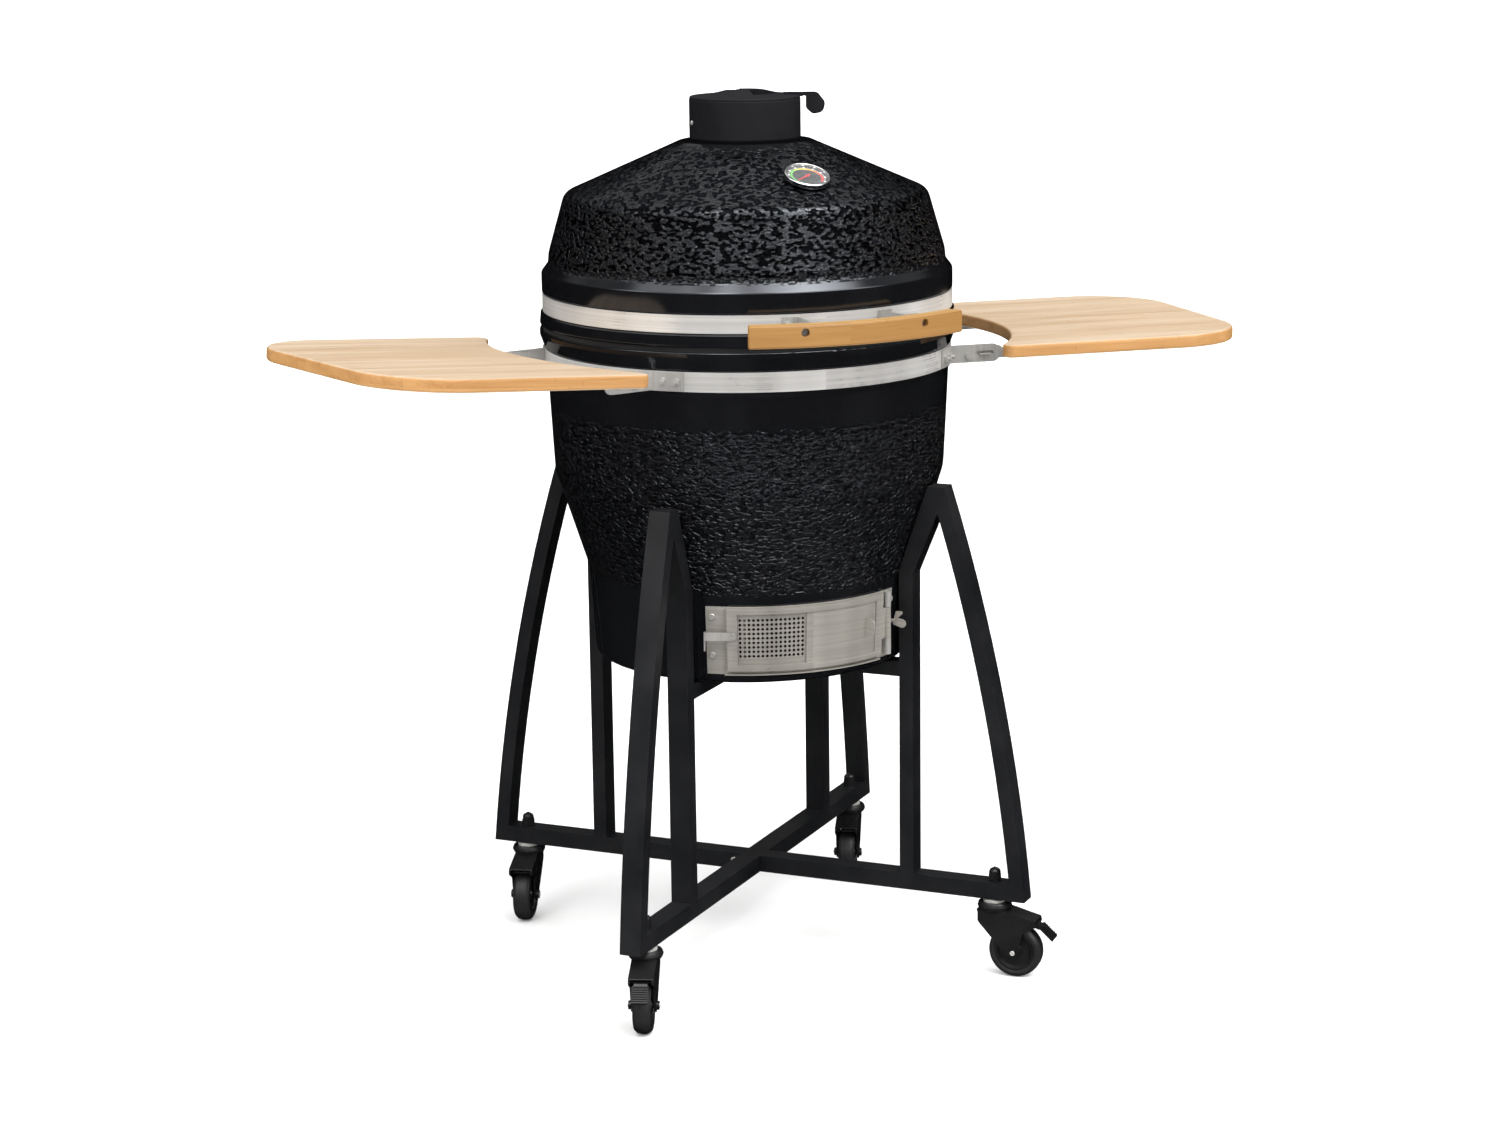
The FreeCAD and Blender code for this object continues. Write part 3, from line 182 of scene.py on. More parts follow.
def worm_relief_group() -> bpy.types.NodeTree:
    """Dimpled glaze: lumps of warped noise with flat tops and hollows darkened by painted shade, plain outside
    two bands.

    Returns:
        The group, with Height, Roughness and a third output, 1 deep in a hollow, which is painted shade that
        Glaze feeds to Metallic to dim the hollows' reflection.
    """
    group, t, where = shader_group("worm_relief",
                                   [("Height", FLOAT), ("Roughness", FLOAT), ("HollowShade", FLOAT)])
    z = t.node("SeparateXYZ", {0: where}).outputs[2]
    dome = t.band(z, *DOME_DIMPLES, 0.006)
    bowl = t.band(z, *BOWL_DIMPLES, 0.010)
    mask = t.math("MAXIMUM", dome, bowl)
    flat = t.stretch(where, (1.0, 1.0, 1.9))
    drift = t.node("TexNoise", {"Vector": flat, "Scale": 100.0, "Detail": 1.0}).outputs[1]
    moved = t.node("VectorMath", {0: drift, "Scale": 0.0075}, operation="SCALE").outputs[0]
    warped = t.node("VectorMath", {0: flat, 1: moved}, operation="ADD").outputs[0]
    lumps = t.noise(warped, 122.0, 0.0, 0.4)
    plateau = t.remap(lumps, 0.38, 0.53, 0.0, 1.0)
    pits = t.remap(t.noise(warped, 260.0, 1.0, 0.5), 0.34, 0.52, 0.0, 1.0)
    relief = t.math("MULTIPLY_ADD", pits, 0.10, t.math("MULTIPLY", plateau, 0.90))
    ripple = t.noise(where, 14.0, 1.0, 0.4)
    glassy = t.math("MULTIPLY", ripple, 0.07)
    height = t.math("ADD", t.math("MULTIPLY", t.math("SUBTRACT", relief, 1.0), mask), glassy)
    smear = t.remap(t.noise(where, 9.0, 4.0, 0.6), 0.35, 0.75, 0.0, 0.05)
    crevice = t.math("MULTIPLY", t.math("SUBTRACT", 1.0, relief), mask)
    rough = t.math("ADD", t.math("MULTIPLY_ADD", mask, 0.04, 0.06), smear)
    rough = t.math("MULTIPLY_ADD", crevice, 0.06, rough)
    # Painted shade: 1 deep in the hollows, half as much on the bowl; over the near-black base it turns Metallic
    # up and so dims their reflection.
    hollow_shade = t.math("MULTIPLY", t.remap(lumps, 0.50, 0.44, 0.0, 1.0),
                    t.math("MULTIPLY_ADD", bowl, -0.5, 1.0))
    close_group(t, {"Height": height, "Roughness": rough, "HollowShade": t.math("MULTIPLY", hollow_shade, mask)})
    return group


def brushed_group() -> bpy.types.NodeTree:
    """Brush lines that run along the incoming X and vary across Y."""
    group, t, where = shader_group("brushed_lines",
                                   [("Tone", FLOAT), ("Roughness", FLOAT), ("Height", FLOAT)])
    fine = t.noise(t.stretch(where, (4.0, 2600.0, 1.0)), 1.0, 3.0, 0.6)
    broad = t.noise(t.stretch(where, (2.0, 260.0, 1.0)), 1.0, 2.0, 0.5)
    cloud = t.noise(where, 22.0, 3.0, 0.6)
    sheen = t.noise(t.stretch(where, (16.0, 3.0, 3.0)), 1.0, 1.0, 0.5)
    tone = t.math("ADD", t.math("MULTIPLY", fine, 0.34), t.math("MULTIPLY", broad, 0.26))
    tone = t.math("MULTIPLY_ADD", sheen, 0.40, tone)
    rough = t.math("ADD", t.remap(tone, 0.3, 0.7, 0.24, 0.36), t.remap(cloud, 0.3, 0.8, 0.0, 0.08))
    close_group(t, {"Tone": tone, "Roughness": rough, "Height": tone})
    return group


def bamboo_group() -> bpy.types.NodeTree:
    """Laminated bamboo: strips side by side along X, with knuckles, fibres and darker layers."""
    group, t, where = shader_group("bamboo", [("Color", COLOUR), ("Roughness", FLOAT), ("Height", FLOAT)])
    parts = t.node("SeparateXYZ", {0: where}).outputs
    strip = t.math("FLOOR", t.math("DIVIDE", parts[1], STRIP))
    layer = t.math("FLOOR", t.math("DIVIDE", parts[2], LAYER))
    seed = t.math("ADD", t.math("MULTIPLY", strip, 7.31), t.math("MULTIPLY", layer, 3.17))
    shade = t.node("TexWhiteNoise", {"W": seed}, noise_dimensions="1D").outputs[0]
    slid = t.math("ADD", parts[0], t.math("MULTIPLY", shade, 0.9))
    fibre_at = t.node("CombineXYZ", {0: t.math("MULTIPLY", slid, 9.0), 1: t.math("MULTIPLY", parts[1], 620.0),
                                     2: t.math("MULTIPLY", parts[2], 620.0)}).outputs[0]
    fibre = t.noise(fibre_at, 1.0, 4.0, 0.65)
    flow_at = t.node("CombineXYZ", {0: t.math("MULTIPLY", slid, 5.0), 1: t.math("MULTIPLY", parts[1], 60.0),
                                    2: t.math("MULTIPLY", parts[2], 60.0)}).outputs[0]
    flow = t.noise(flow_at, 1.0, 3.0, 0.55)
    knuckle = t.from_middle(t.math("DIVIDE", slid, KNUCKLE))
    ring = t.math("SUBTRACT", 1.0, t.remap(t.math("ADD", knuckle, t.math("MULTIPLY", fibre, 0.006)),
                                           0.0, 0.011, 0.0, 1.0))
    seam = t.from_middle(t.math("DIVIDE", parts[1], STRIP))
    joint = t.remap(seam, 0.480, 0.497, 0.0, 1.0)
    mixed = t.math("ADD", t.math("MULTIPLY", fibre, 0.46), t.math("MULTIPLY", flow, 0.40))
    mixed = t.math("ADD", mixed, t.math("MULTIPLY", shade, 0.12))
    pale = t.ramp(mixed, [(0.36, (0.455, 0.250, 0.100)), (0.48, (0.545, 0.315, 0.135)),
                          (0.61, (0.625, 0.385, 0.185))])
    darker = t.math("MULTIPLY", ring, 0.30)
    darker = t.math("MAXIMUM", darker, t.math("MULTIPLY", joint, 0.16))
    colour = t.node("Mix", {0: darker, 6: pale, 7: (0.24, 0.105, 0.035, 1.0)}, data_type="RGBA").outputs[2]
    rough = t.remap(fibre, 0.3, 0.7, 0.36, 0.50)
    height = t.math("SUBTRACT", fibre, t.math("MULTIPLY", joint, 0.6))
    close_group(t, {"Color": colour, "Roughness": rough, "Height": height})
    return group


def grain_group() -> bpy.types.NodeTree:
    """Fine orange peel with faint clouds, for powder coat, castings and moulded plastic."""
    group, t, where = shader_group("fine_grain", [("Tone", FLOAT), ("Height", FLOAT)])
    peel = t.noise(where, 900.0, 2.0, 0.5)
    cloud = t.noise(where, 12.0, 4.0, 0.6)
    close_group(t, {"Tone": cloud, "Height": peel})
    return group


# ---------------------------------------------------------------- finishes
@dataclass(frozen=True)
class Finish:
    """A material whose look comes from one shared group.

    Attributes:
        name: Material name.
        metallic: Principled Metallic.
        bump: Depth of the relief, in metres.
    """

    name: str
    metallic: float = 0.0
    bump: float = 0.0001

    def start(self) -> tuple[bpy.types.Material, Tree, bpy.types.Node, bpy.types.NodeSocket]:
        """A new material with its tree, its Principled node and its object coordinates."""
        material = bpy.data.materials.new(self.name)
        material.use_nodes = True
        tree = Tree(material.node_tree)
        shader = material.node_tree.nodes["Principled BSDF"]
        shader.inputs["Metallic"].default_value = self.metallic
        where = tree.node("TexCoord").outputs["Object"]
        return material, tree, shader, where

    def relief(self, tree: Tree, shader: bpy.types.Node, height, strength: float = 1.0) -> None:
        """Joins a height to the shader's normal."""
        bump = tree.node("Bump", {"Strength": strength, "Distance": self.bump, "Height": height})
        tree.tree.links.new(bump.outputs[0], shader.inputs["Normal"])


@dataclass(frozen=True)
class Glaze(Finish):
    """Glossy glazed ceramic."""

    colour: tuple[float, float, float] = (0.0032, 0.0034, 0.0040)

    def build(self, group: bpy.types.NodeTree) -> bpy.types.Material:
        """Makes the material."""
        material, tree, shader, where = self.start()
        look = tree.node("Group", node_tree=group)
        tree.tree.links.new(where, look.inputs["Vector"])
        shader.inputs["Base Color"].default_value = (*self.colour, 1.0)
        shader.inputs["IOR"].default_value = 1.54
        shader.inputs["Specular Tint"].default_value = (0.88, 0.92, 1.0, 1.0)
        tree.tree.links.new(look.outputs["Roughness"], shader.inputs["Roughness"])
        # Painted shade: the hollow mask drives Metallic, so over the near-black base the hollows reflect almost
        # nothing.
        tree.tree.links.new(look.outputs["HollowShade"], shader.inputs["Metallic"])
        self.relief(tree, shader, look.outputs["Height"])
        return material


@dataclass(frozen=True)
class Coated(Finish):
    """Powder coat, casting, rubber, felt or moulded plastic: one colour, clouded and grained.

    Attributes:
        dark: Colour where the clouds are darkest.
        light: Colour where they are lightest.
        roughness: Roughness at the dark and the light end.
        specular: Principled Specular IOR Level.
    """

    dark: tuple[float, float, float] = (0.01, 0.01, 0.01)
    light: tuple[float, float, float] = (0.02, 0.02, 0.02)
    roughness: tuple[float, float] = (0.4, 0.55)
    specular: float = 0.4

    def build(self, group: bpy.types.NodeTree) -> bpy.types.Material:
        """Makes the material."""
        material, tree, shader, where = self.start()
        look = tree.node("Group", node_tree=group)
        tree.tree.links.new(where, look.inputs["Vector"])
        colour = tree.ramp(look.outputs["Tone"], [(0.3, self.dark), (0.7, self.light)])
        rough = tree.remap(look.outputs["Tone"], 0.3, 0.7, *self.roughness)
        shader.inputs["Specular IOR Level"].default_value = self.specular
        tree.tree.links.new(colour, shader.inputs["Base Color"])
        tree.tree.links.new(rough, shader.inputs["Roughness"])
        self.relief(tree, shader, look.outputs["Height"])
        return material


class Lay(Enum):
    """Which way brush lines or grain run."""

    AROUND = "around"
    ALONG = "along"


@dataclass(frozen=True)
class Brushed(Finish):
    """Brushed or plated steel.

    Attributes:
        dark: Colour of the darkest lines.
        light: Colour of the lightest.
        lay: Which way the lines run.
        polish: How much is taken off the roughness.
    """

    dark: tuple[float, float, float] = (0.60, 0.59, 0.575)
    light: tuple[float, float, float] = (0.84, 0.83, 0.81)
    lay: Lay = Lay.AROUND
    polish: float = 0.0

    def build(self, group: bpy.types.NodeTree) -> bpy.types.Material:
        """Makes the material."""
        material, tree, shader, where = self.start()
        parts = tree.node("SeparateXYZ", {0: where}).outputs
        if self.lay is Lay.ALONG:
            placed = where
        else:
            angle = tree.math("MULTIPLY", tree.math("ARCTAN2", parts[0], parts[1]), 0.25)
            placed = tree.node("CombineXYZ", {0: angle, 1: parts[2]}).outputs[0]
        look = tree.node("Group", node_tree=group)
        tree.tree.links.new(placed, look.inputs["Vector"])
        colour = tree.ramp(look.outputs["Tone"], [(0.3, self.dark), (0.7, self.light)])
        rough = tree.math("SUBTRACT", look.outputs["Roughness"], self.polish)
        tree.tree.links.new(colour, shader.inputs["Base Color"])
        tree.tree.links.new(rough, shader.inputs["Roughness"])
        shader.inputs["Anisotropic"].default_value = 0.5
        self.relief(tree, shader, look.outputs["Height"])
        return material


@dataclass(frozen=True)
class Bamboo(Finish):
    """Oiled laminated bamboo.

    Attributes:
        heading: Degrees about Z that turn the board's own X to the grain's direction.
        tilt: Degrees that the board's outer end stands up.
        curved: True where the strips follow an arc about the body's axis.
        top_light_tint: Colour that the wood's own colour is multiplied by on the flat faces, a painted
            reflection that pales the tops.
        edge: The same on the edges, painted shade that darkens the sides.
    """

    heading: float = 0.0
    tilt: float = 0.0
    curved: bool = False
    top_light_tint: tuple[float, float, float] = (0.80, 1.03, 1.60)
    edge: tuple[float, float, float] = (0.62, 0.54, 0.40)

    def build(self, group: bpy.types.NodeTree) -> bpy.types.Material:
        """Makes the material."""
        material, tree, shader, where = self.start()
        if self.curved:
            parts = tree.node("SeparateXYZ", {0: where}).outputs
            angle = tree.math("MULTIPLY", tree.math("ARCTAN2", parts[0], parts[1]), 0.348)
            out = tree.math("SQRT", tree.math("ADD", tree.math("MULTIPLY", parts[0], parts[0]),
                                              tree.math("MULTIPLY", parts[1], parts[1])))
            placed = tree.node("CombineXYZ", {0: angle, 1: parts[2], 2: out}).outputs[0]
        else:
            turned = tree.stretch(where, (1, 1, 1), (0, 0, -math.radians(self.heading)))
            placed = tree.stretch(turned, (1, 1, 1), (0, math.radians(self.tilt), 0))
        look = tree.node("Group", node_tree=group)
        tree.tree.links.new(placed, look.inputs["Vector"])
        # Painted light: faces that point up or down get the paler tint as a painted reflection, faces that
        # point sideways get the darker one as painted shade.
        normal = tree.node("TexCoord").outputs["Normal"]
        flatness = tree.math("ABSOLUTE", tree.node("SeparateXYZ", {0: normal}).outputs[2])
        facing_light_tint = tree.node("Mix", {0: tree.remap(flatness, 0.5, 0.95, 0.0, 1.0), 6: (*self.edge, 1.0),
                                  7: (*self.top_light_tint, 1.0)}, data_type="RGBA").outputs[2]
        facing_lit_colour = tree.node("Mix", {0: 1.0, 6: look.outputs["Color"], 7: facing_light_tint}, data_type="RGBA",
                            blend_type="MULTIPLY").outputs[2]
        tree.tree.links.new(facing_lit_colour, shader.inputs["Base Color"])
        tree.tree.links.new(look.outputs["Roughness"], shader.inputs["Roughness"])
        self.relief(tree, shader, look.outputs["Height"])
        return material


@dataclass
class Palette:
    """Every material of the grill, by name."""

    made: dict[str, bpy.types.Material] = field(default_factory=dict)

    def __post_init__(self) -> None:
        """Builds the groups and every material."""
        worm, brushed = worm_relief_group(), brushed_group()
        bamboo, grain = bamboo_group(), grain_group()
        plain = [
            Coated("powder_coat", 0.0, 0.00004, (0.0045, 0.0048, 0.0058), (0.0085, 0.0088, 0.0100),
                   (0.34, 0.46)),
            Coated("cast_black", 0.0, 0.00012, (0.0050, 0.0050, 0.0065), (0.0085, 0.0083, 0.0100),
                   (0.55, 0.68), 0.16),
            Coated("grate_iron", 0.3, 0.00025, (0.016, 0.015, 0.014), (0.035, 0.032, 0.030), (0.55, 0.8)),
            Coated("refractory", 0.0, 0.00030, (0.30, 0.22, 0.15), (0.52, 0.41, 0.30), (0.8, 0.95)),
            Coated("felt", 0.0, 0.00040, (0.008, 0.008, 0.008), (0.02, 0.02, 0.02), (0.85, 1.0)),
            Coated("tyre", 0.0, 0.00010, (0.007, 0.007, 0.0075), (0.014, 0.014, 0.0145), (0.42, 0.62)),
            Coated("nylon", 0.0, 0.00006, (0.0045, 0.0045, 0.0050), (0.0085, 0.0085, 0.0090), (0.22, 0.36)),
            Coated("red_paint", 0.0, 0.00002, (0.45, 0.015, 0.02), (0.55, 0.02, 0.03), (0.3, 0.4)),
        ]
        steel = [
            Brushed("band_steel", 0.50, 0.00003, (0.34, 0.33, 0.315), (0.80, 0.785, 0.76)),
            Brushed("door_steel", 0.60, 0.00002, (0.22, 0.205, 0.18), (0.50, 0.475, 0.43)),
            Brushed("plate_steel", 0.60, 0.00003, (0.30, 0.29, 0.275), (0.60, 0.585, 0.56), Lay.ALONG),
            Brushed("zinc", 0.60, 0.00004, (0.60, 0.58, 0.53), (0.80, 0.79, 0.76), Lay.ALONG, 0.08),
            Brushed("bezel_chrome", 1.0, 0.00001, (0.78, 0.78, 0.78), (0.88, 0.88, 0.88), Lay.ALONG, 0.20),
        ]
        wood = [
            Bamboo("bamboo_left", 0.0, 0.00012, Heading.LEFT_SHELF.value, 4.5),
            Bamboo("bamboo_right", 0.0, 0.00012, Heading.RIGHT_SHELF.value, 0.0),
            Bamboo("bamboo_handle", 0.0, 0.00012, 0.0, 0.0, True, (0.66, 0.64, 0.50), (0.42, 0.35, 0.19)),
        ]
        self.made["glaze"] = Glaze("glaze", 0.0, 0.0042).build(worm)
        for finishes, group in ((plain, grain), (steel, brushed), (wood, bamboo)):
            for finish in finishes:
                self.made[finish.name] = finish.build(group)
        self.made["clear_glass"] = self._glass()
        self.made["dial"] = self._dial()

    @staticmethod
    def _glass() -> bpy.types.Material:
        """Thin clear glass that lets the dial show."""
        material, tree, shader, where = Finish("clear_glass").start()
        smear = tree.noise(where, 60.0, 3.0, 0.6)
        tree.tree.links.new(tree.remap(smear, 0.4, 0.8, 0.01, 0.06), shader.inputs["Roughness"])
        tree.tree.links.new(tree.remap(smear, 0.3, 0.8, 0.03, 0.05), shader.inputs["Alpha"])
        shader.inputs["Base Color"].default_value = (0.9, 0.92, 0.93, 1.0)
        return material

    @staticmethod
    def _dial() -> bpy.types.Material:
        """Black printed dial: a coloured arc, white ticks and a ring of small marks, on its own UV map."""
        material = bpy.data.materials.new("dial")
        material.use_nodes = True
        tree = Tree(material.node_tree)
        shader = material.node_tree.nodes["Principled BSDF"]
        flat = tree.node("UVMap", uv_map="face").outputs[0]
        centred = tree.node("VectorMath", {0: flat, 1: (0.5, 0.5, 0.0)}, operation="SUBTRACT").outputs[0]
        axes = tree.node("SeparateXYZ", {0: centred}).outputs
        out = tree.math("MULTIPLY", tree.node("VectorMath", {0: centred}, operation="LENGTH").outputs[1], 2.0)
        turn = tree.math("DIVIDE", tree.math("ARCTAN2", axes[0], axes[1]), TAU)
        sweep = tree.band(turn, -0.38, 0.38, 0.002)
        arc = tree.math("MULTIPLY", tree.band(out, 0.70, 0.80, 0.008), sweep)
        colours = tree.ramp(tree.math("MULTIPLY_ADD", turn, 1.3158, 0.5), [
            (0.0, (0.05, 0.30, 0.07)), (0.36, (0.12, 0.42, 0.06)), (0.55, (0.75, 0.52, 0.03)),
            (0.78, (0.70, 0.05, 0.02)), (1.0, (0.45, 0.01, 0.01))])
        fine = tree.from_middle(tree.math("MULTIPLY", turn, 50.0))
        coarse = tree.from_middle(tree.math("MULTIPLY", turn, 12.5))
        ticks = tree.math("MULTIPLY", tree.remap(fine, 0.16, 0.10, 0.0, 1.0),
                          tree.band(out, 0.83, 0.90, 0.006))
        marks = tree.math("MULTIPLY", tree.remap(coarse, 0.10, 0.05, 0.0, 1.0),
                          tree.band(out, 0.83, 0.95, 0.006))
        white = tree.math("MULTIPLY", tree.math("MAXIMUM", ticks, marks), sweep)
        ground = tree.ramp(tree.noise(flat, 9.0), [(0.3, (0.010, 0.010, 0.011)), (0.7, (0.017, 0.017, 0.018))])
        printed = tree.node("Mix", {0: arc, 6: ground, 7: colours}, data_type="RGBA").outputs[2]
        face = tree.node("Mix", {0: white, 6: printed, 7: (0.75, 0.75, 0.73, 1.0)}, data_type="RGBA").outputs[2]
        tree.tree.links.new(face, shader.inputs["Base Color"])
        tree.tree.links.new(tree.remap(white, 0.0, 1.0, 0.42, 0.30), shader.inputs["Roughness"])
        return material

    def __getitem__(self, name: str) -> bpy.types.Material:
        """A material by its name."""
        return self.made[name]


# ---------------------------------------------------------------- meshes
def mesh_object(name: str, points: np.ndarray, faces: list, material: bpy.types.Material,
                smooth: bool = True) -> bpy.types.Object:
    """A mesh object at the origin from an (n, 3) array of points and a list of faces."""
    mesh = bpy.data.meshes.new(name)
    mesh.from_pydata(points.tolist(), [], faces)
    mesh.polygons.foreach_set("use_smooth", np.full(len(mesh.polygons), smooth))
    mesh.materials.append(material)
    mesh.update()
    made = bpy.data.objects.new(name, mesh)
    bpy.context.scene.collection.objects.link(made)
    return made


def lathe(profile: np.ndarray, steps: int) -> tuple[np.ndarray, list]:
    """A closed (r, h) profile turned about the Y axis.

    Args:
        profile: (n, 2) array of radius and height along Y, in order round the section.
        steps: How many copies of the profile go round.

    Returns:
        Points (r cos a, h, r sin a) for each angle a and profile point, and the quads between them.
    """
    angles = np.arange(steps) * TAU / steps
    r, h = profile[:, 0], profile[:, 1]
    grid = np.stack([np.outer(np.cos(angles), r), np.tile(h, (steps, 1)), np.outer(np.sin(angles), r)], axis=2)
    count = len(profile)
    i, j = np.meshgrid(np.arange(steps), np.arange(count), indexing="ij")
    i2, j2 = (i + 1) % steps, (j + 1) % count
    quads = np.stack([i * count + j, i2 * count + j, i2 * count + j2, i * count + j2], axis=2)
    return grid.reshape(-1, 3), quads.reshape(-1, 4).tolist()


# ---------------------------------------------------------------- sub-assemblies
@dataclass
class CadFinishes:
    """Gives each CAD node that stays in view its material."""

    palette: Palette
    nodes: dict[str, bpy.types.Object]
    finish_of: dict[str, str] = field(default_factory=lambda: {
        "base_shell": "glaze", "dome_shell": "glaze", "firebox": "refractory", "fire_ring": "refractory",
        "charcoal_grate": "grate_iron", "cooking_grate": "plate_steel", "base_gasket": "felt",
        "dome_gasket": "felt", "lower_band": "band_steel", "upper_band": "band_steel",
        "draft_frame": "door_steel", "ash_door": "door_steel", "ash_screen": "door_steel",
        "draft_damper": "door_steel", "door_latch": "plate_steel", "ash_door_hinge": "plate_steel",
        "handle_bar": "bamboo_handle", "left_shelf_board": "bamboo_left", "right_shelf_board": "bamboo_right",
        "top_vent_housing": "cast_black", "top_vent_disc": "cast_black", "thermometer_case": "bezel_chrome",
        "thermometer_glass": "clear_glass", "thermometer_dial": "dial", "thermometer_needle": "red_paint",
        "caster_stems": "zinc", "stand_bolt": "zinc", "caster_nuts": "nylon",
    })

    def build(self) -> None:
        """Assigns the materials."""
        for name, node in self.nodes.items():
            key = self.finish_of.get(name)
            if key is None:
                key = "powder_coat" if name.startswith("stand_") else "plate_steel"
                if name.endswith(("_fork", "_pedal")):
                    key = "nylon"
                if name.endswith("_wheel"):
                    key = "tyre"
            for place in node.material_slots:
                place.material = self.palette[key]
            LOG.info("%s gets %s", name, key)


def middle_of(node: str) -> Vector:
    """Centre of a CAD node's box at rest."""
    low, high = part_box(node)
    return (Vector(low) + Vector(high)) / 2


def placed(points: np.ndarray, matrix: Matrix) -> np.ndarray:
    """Points moved by a 4 by 4 matrix."""
    grid = np.array(matrix)
    return points @ grid[:3, :3].T + grid[:3, 3]


def rounded(corners: list[tuple[float, float, float]], steps: int = 4) -> np.ndarray:
    """A closed section through (r, h, corner radius) points, its corners cut as arcs.

    Args:
        corners: Points in millimetres, in order round the section.
        steps: Segments in each arc, a quadratic curve with the corner as its middle point.

    Returns:
        (n, 2) array of radius and height, in metres.
    """
    count = len(corners)
    made = []
    for i, (r, h, radius) in enumerate(corners):
        here = np.array((r, h))
        back = np.array(corners[i - 1][:2]) - here
        ahead = np.array(corners[(i + 1) % count][:2]) - here
        back = back / np.linalg.norm(back)
        ahead = ahead / np.linalg.norm(ahead)
        if radius <= 0:
            made.append(here[None])
            continue
        half = math.acos(float(np.clip(back @ ahead, -1, 1))) / 2
        run = radius / math.tan(half)
        t = np.linspace(0, 1, steps + 1)[:, None]
        start, end = here + back * run, here + ahead * run
        made.append((1 - t) ** 2 * start + 2 * t * (1 - t) * here + t ** 2 * end)
    return np.concatenate(made) * MM


@dataclass
class Thermometer:
    """Printed face of the thermometer, in place of the plain CAD dial.

    Attributes:
        palette: The materials.
        tilt: Elevation of the face's normal, in degrees.
        radius: Radius of the face, in metres.
        thickness: Thickness of the plate, in metres.
        steps: Corners of the rim.
    """

    palette: Palette
    tilt: float = 66.5
    radius: float = 0.0277
    thickness: float = 0.0009
    steps: int = 96

    def build(self) -> None:
        """Makes the plate with its own UV map."""
        angle = np.arange(self.steps) * TAU / self.steps
        ring = np.stack([np.cos(angle), np.sin(angle)], axis=1) * self.radius
        top = np.column_stack([ring, np.full(self.steps, self.thickness / 2)])
        base = np.column_stack([ring, np.full(self.steps, -self.thickness / 2)])
        turn = Matrix.Rotation(math.radians(Heading.FITTINGS.value), 4, "Z")
        lean = Matrix.Rotation(math.radians(90 - self.tilt), 4, "X")
        place = Matrix.Translation(middle_of("thermometer_dial")) @ turn @ lean
        n = self.steps
        sides = [(i + n, (i + 1) % n + n, (i + 1) % n, i) for i in range(n)]
        faces = [tuple(range(n)), tuple(range(2 * n - 1, n - 1, -1))] + sides
        flat = np.concatenate([top, base])
        made = mesh_object("dial_face", placed(flat, place), faces, self.palette["dial"], False)
        layer = made.data.uv_layers.new(name="face")
        corner = np.empty(len(made.data.loops), dtype=np.int32)
        made.data.loops.foreach_get("vertex_index", corner)
        uv = flat[corner, :2] / (2 * self.radius) + 0.5
        layer.data.foreach_set("uv", uv.ravel().astype(np.float32))
        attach(made, "lid")
        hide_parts("thermometer_dial")


@dataclass
class Caster:
    """Tyre and hub of one caster, in place of its CAD wheel.

    Attributes:
        palette: The materials.
        corner: Which caster: fl, fr, bl or br.
        turn: Degrees that its fork is turned about the stem.
        radius: Radius over the tread, in millimetres.
        half: Half of the wheel's width, in millimetres.
        steps: Sections round the wheel.
    """

    palette: Palette
    corner: str
    turn: float
    radius: float = 37.4
    half: float = 12.4
    steps: int = 96

    def place(self) -> Matrix:
        """Puts a wheel made about the Y axis at the origin on its axle."""
        where = Matrix.Translation(middle_of("caster_%s_wheel" % self.corner))
        return where @ Matrix.Rotation(math.radians(self.turn), 4, "Z")

    def piece(self, label: str, points: np.ndarray, faces: list, material: str) -> bpy.types.Object:
        """One part of the wheel that rides on its body."""
        made = mesh_object("caster_%s_%s" % (self.corner, label), placed(points, self.place()), faces,
                           self.palette[material])
        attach(made, "wheel_" + self.corner)
        return made

    def bolts(self) -> None:
        """A domed zinc rivet on each end of the axle."""
        reach = 20.6
        dome = rounded([(0.4, reach, 0), (3.4, reach, 0), (3.4, reach + 0.8, 0.5), (0.4, reach + 1.5, 0)])
        for side in (1, -1):
            points, faces = lathe(dome * (1, side), 24)
            made = self.piece("rivet", points, faces if side == 1 else [f[::-1] for f in faces], "zinc")
            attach(made, "fork_" + self.corner)

    def build(self) -> None:
        """Makes the tyre, the hub and the axle's rivets."""
        self.bolts()
        r, w = self.radius, self.half
        tyre = rounded([(27.9, -w + 0.8, 0.6), (30.0, -w + 0.2, 0.8), (r - 4.5, -w + 0.4, 3.2),
                        (r - 0.4, -w + 5.0, 3.6), (r, 0, 14), (r - 0.4, w - 5.0, 3.6),
                        (r - 4.5, w - 0.4, 3.2), (30.0, w - 0.2, 0.8), (27.9, w - 0.8, 0.6)])
        hub = rounded([(4.3, -w + 1.0, 0.4), (9.6, -w + 1.0, 0.8), (10.6, -w + 3.6, 1.2), (21.8, -w + 4.4, 1.2),
                       (24.0, -w + 1.4, 1.0), (27.8, -w + 1.0, 0.5), (27.8, w - 1.0, 0.5), (24.0, w - 1.4, 1.0),
                       (21.8, w - 4.4, 1.2), (10.6, w - 3.6, 1.2), (9.6, w - 1.0, 0.8), (4.3, w - 1.0, 0.4)])
        self.piece("tyre", *lathe(tyre, self.steps), "tyre")
        made = self.piece("hub", *lathe(hub, self.steps), "nylon")
        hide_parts("caster_%s_wheel" % self.corner)


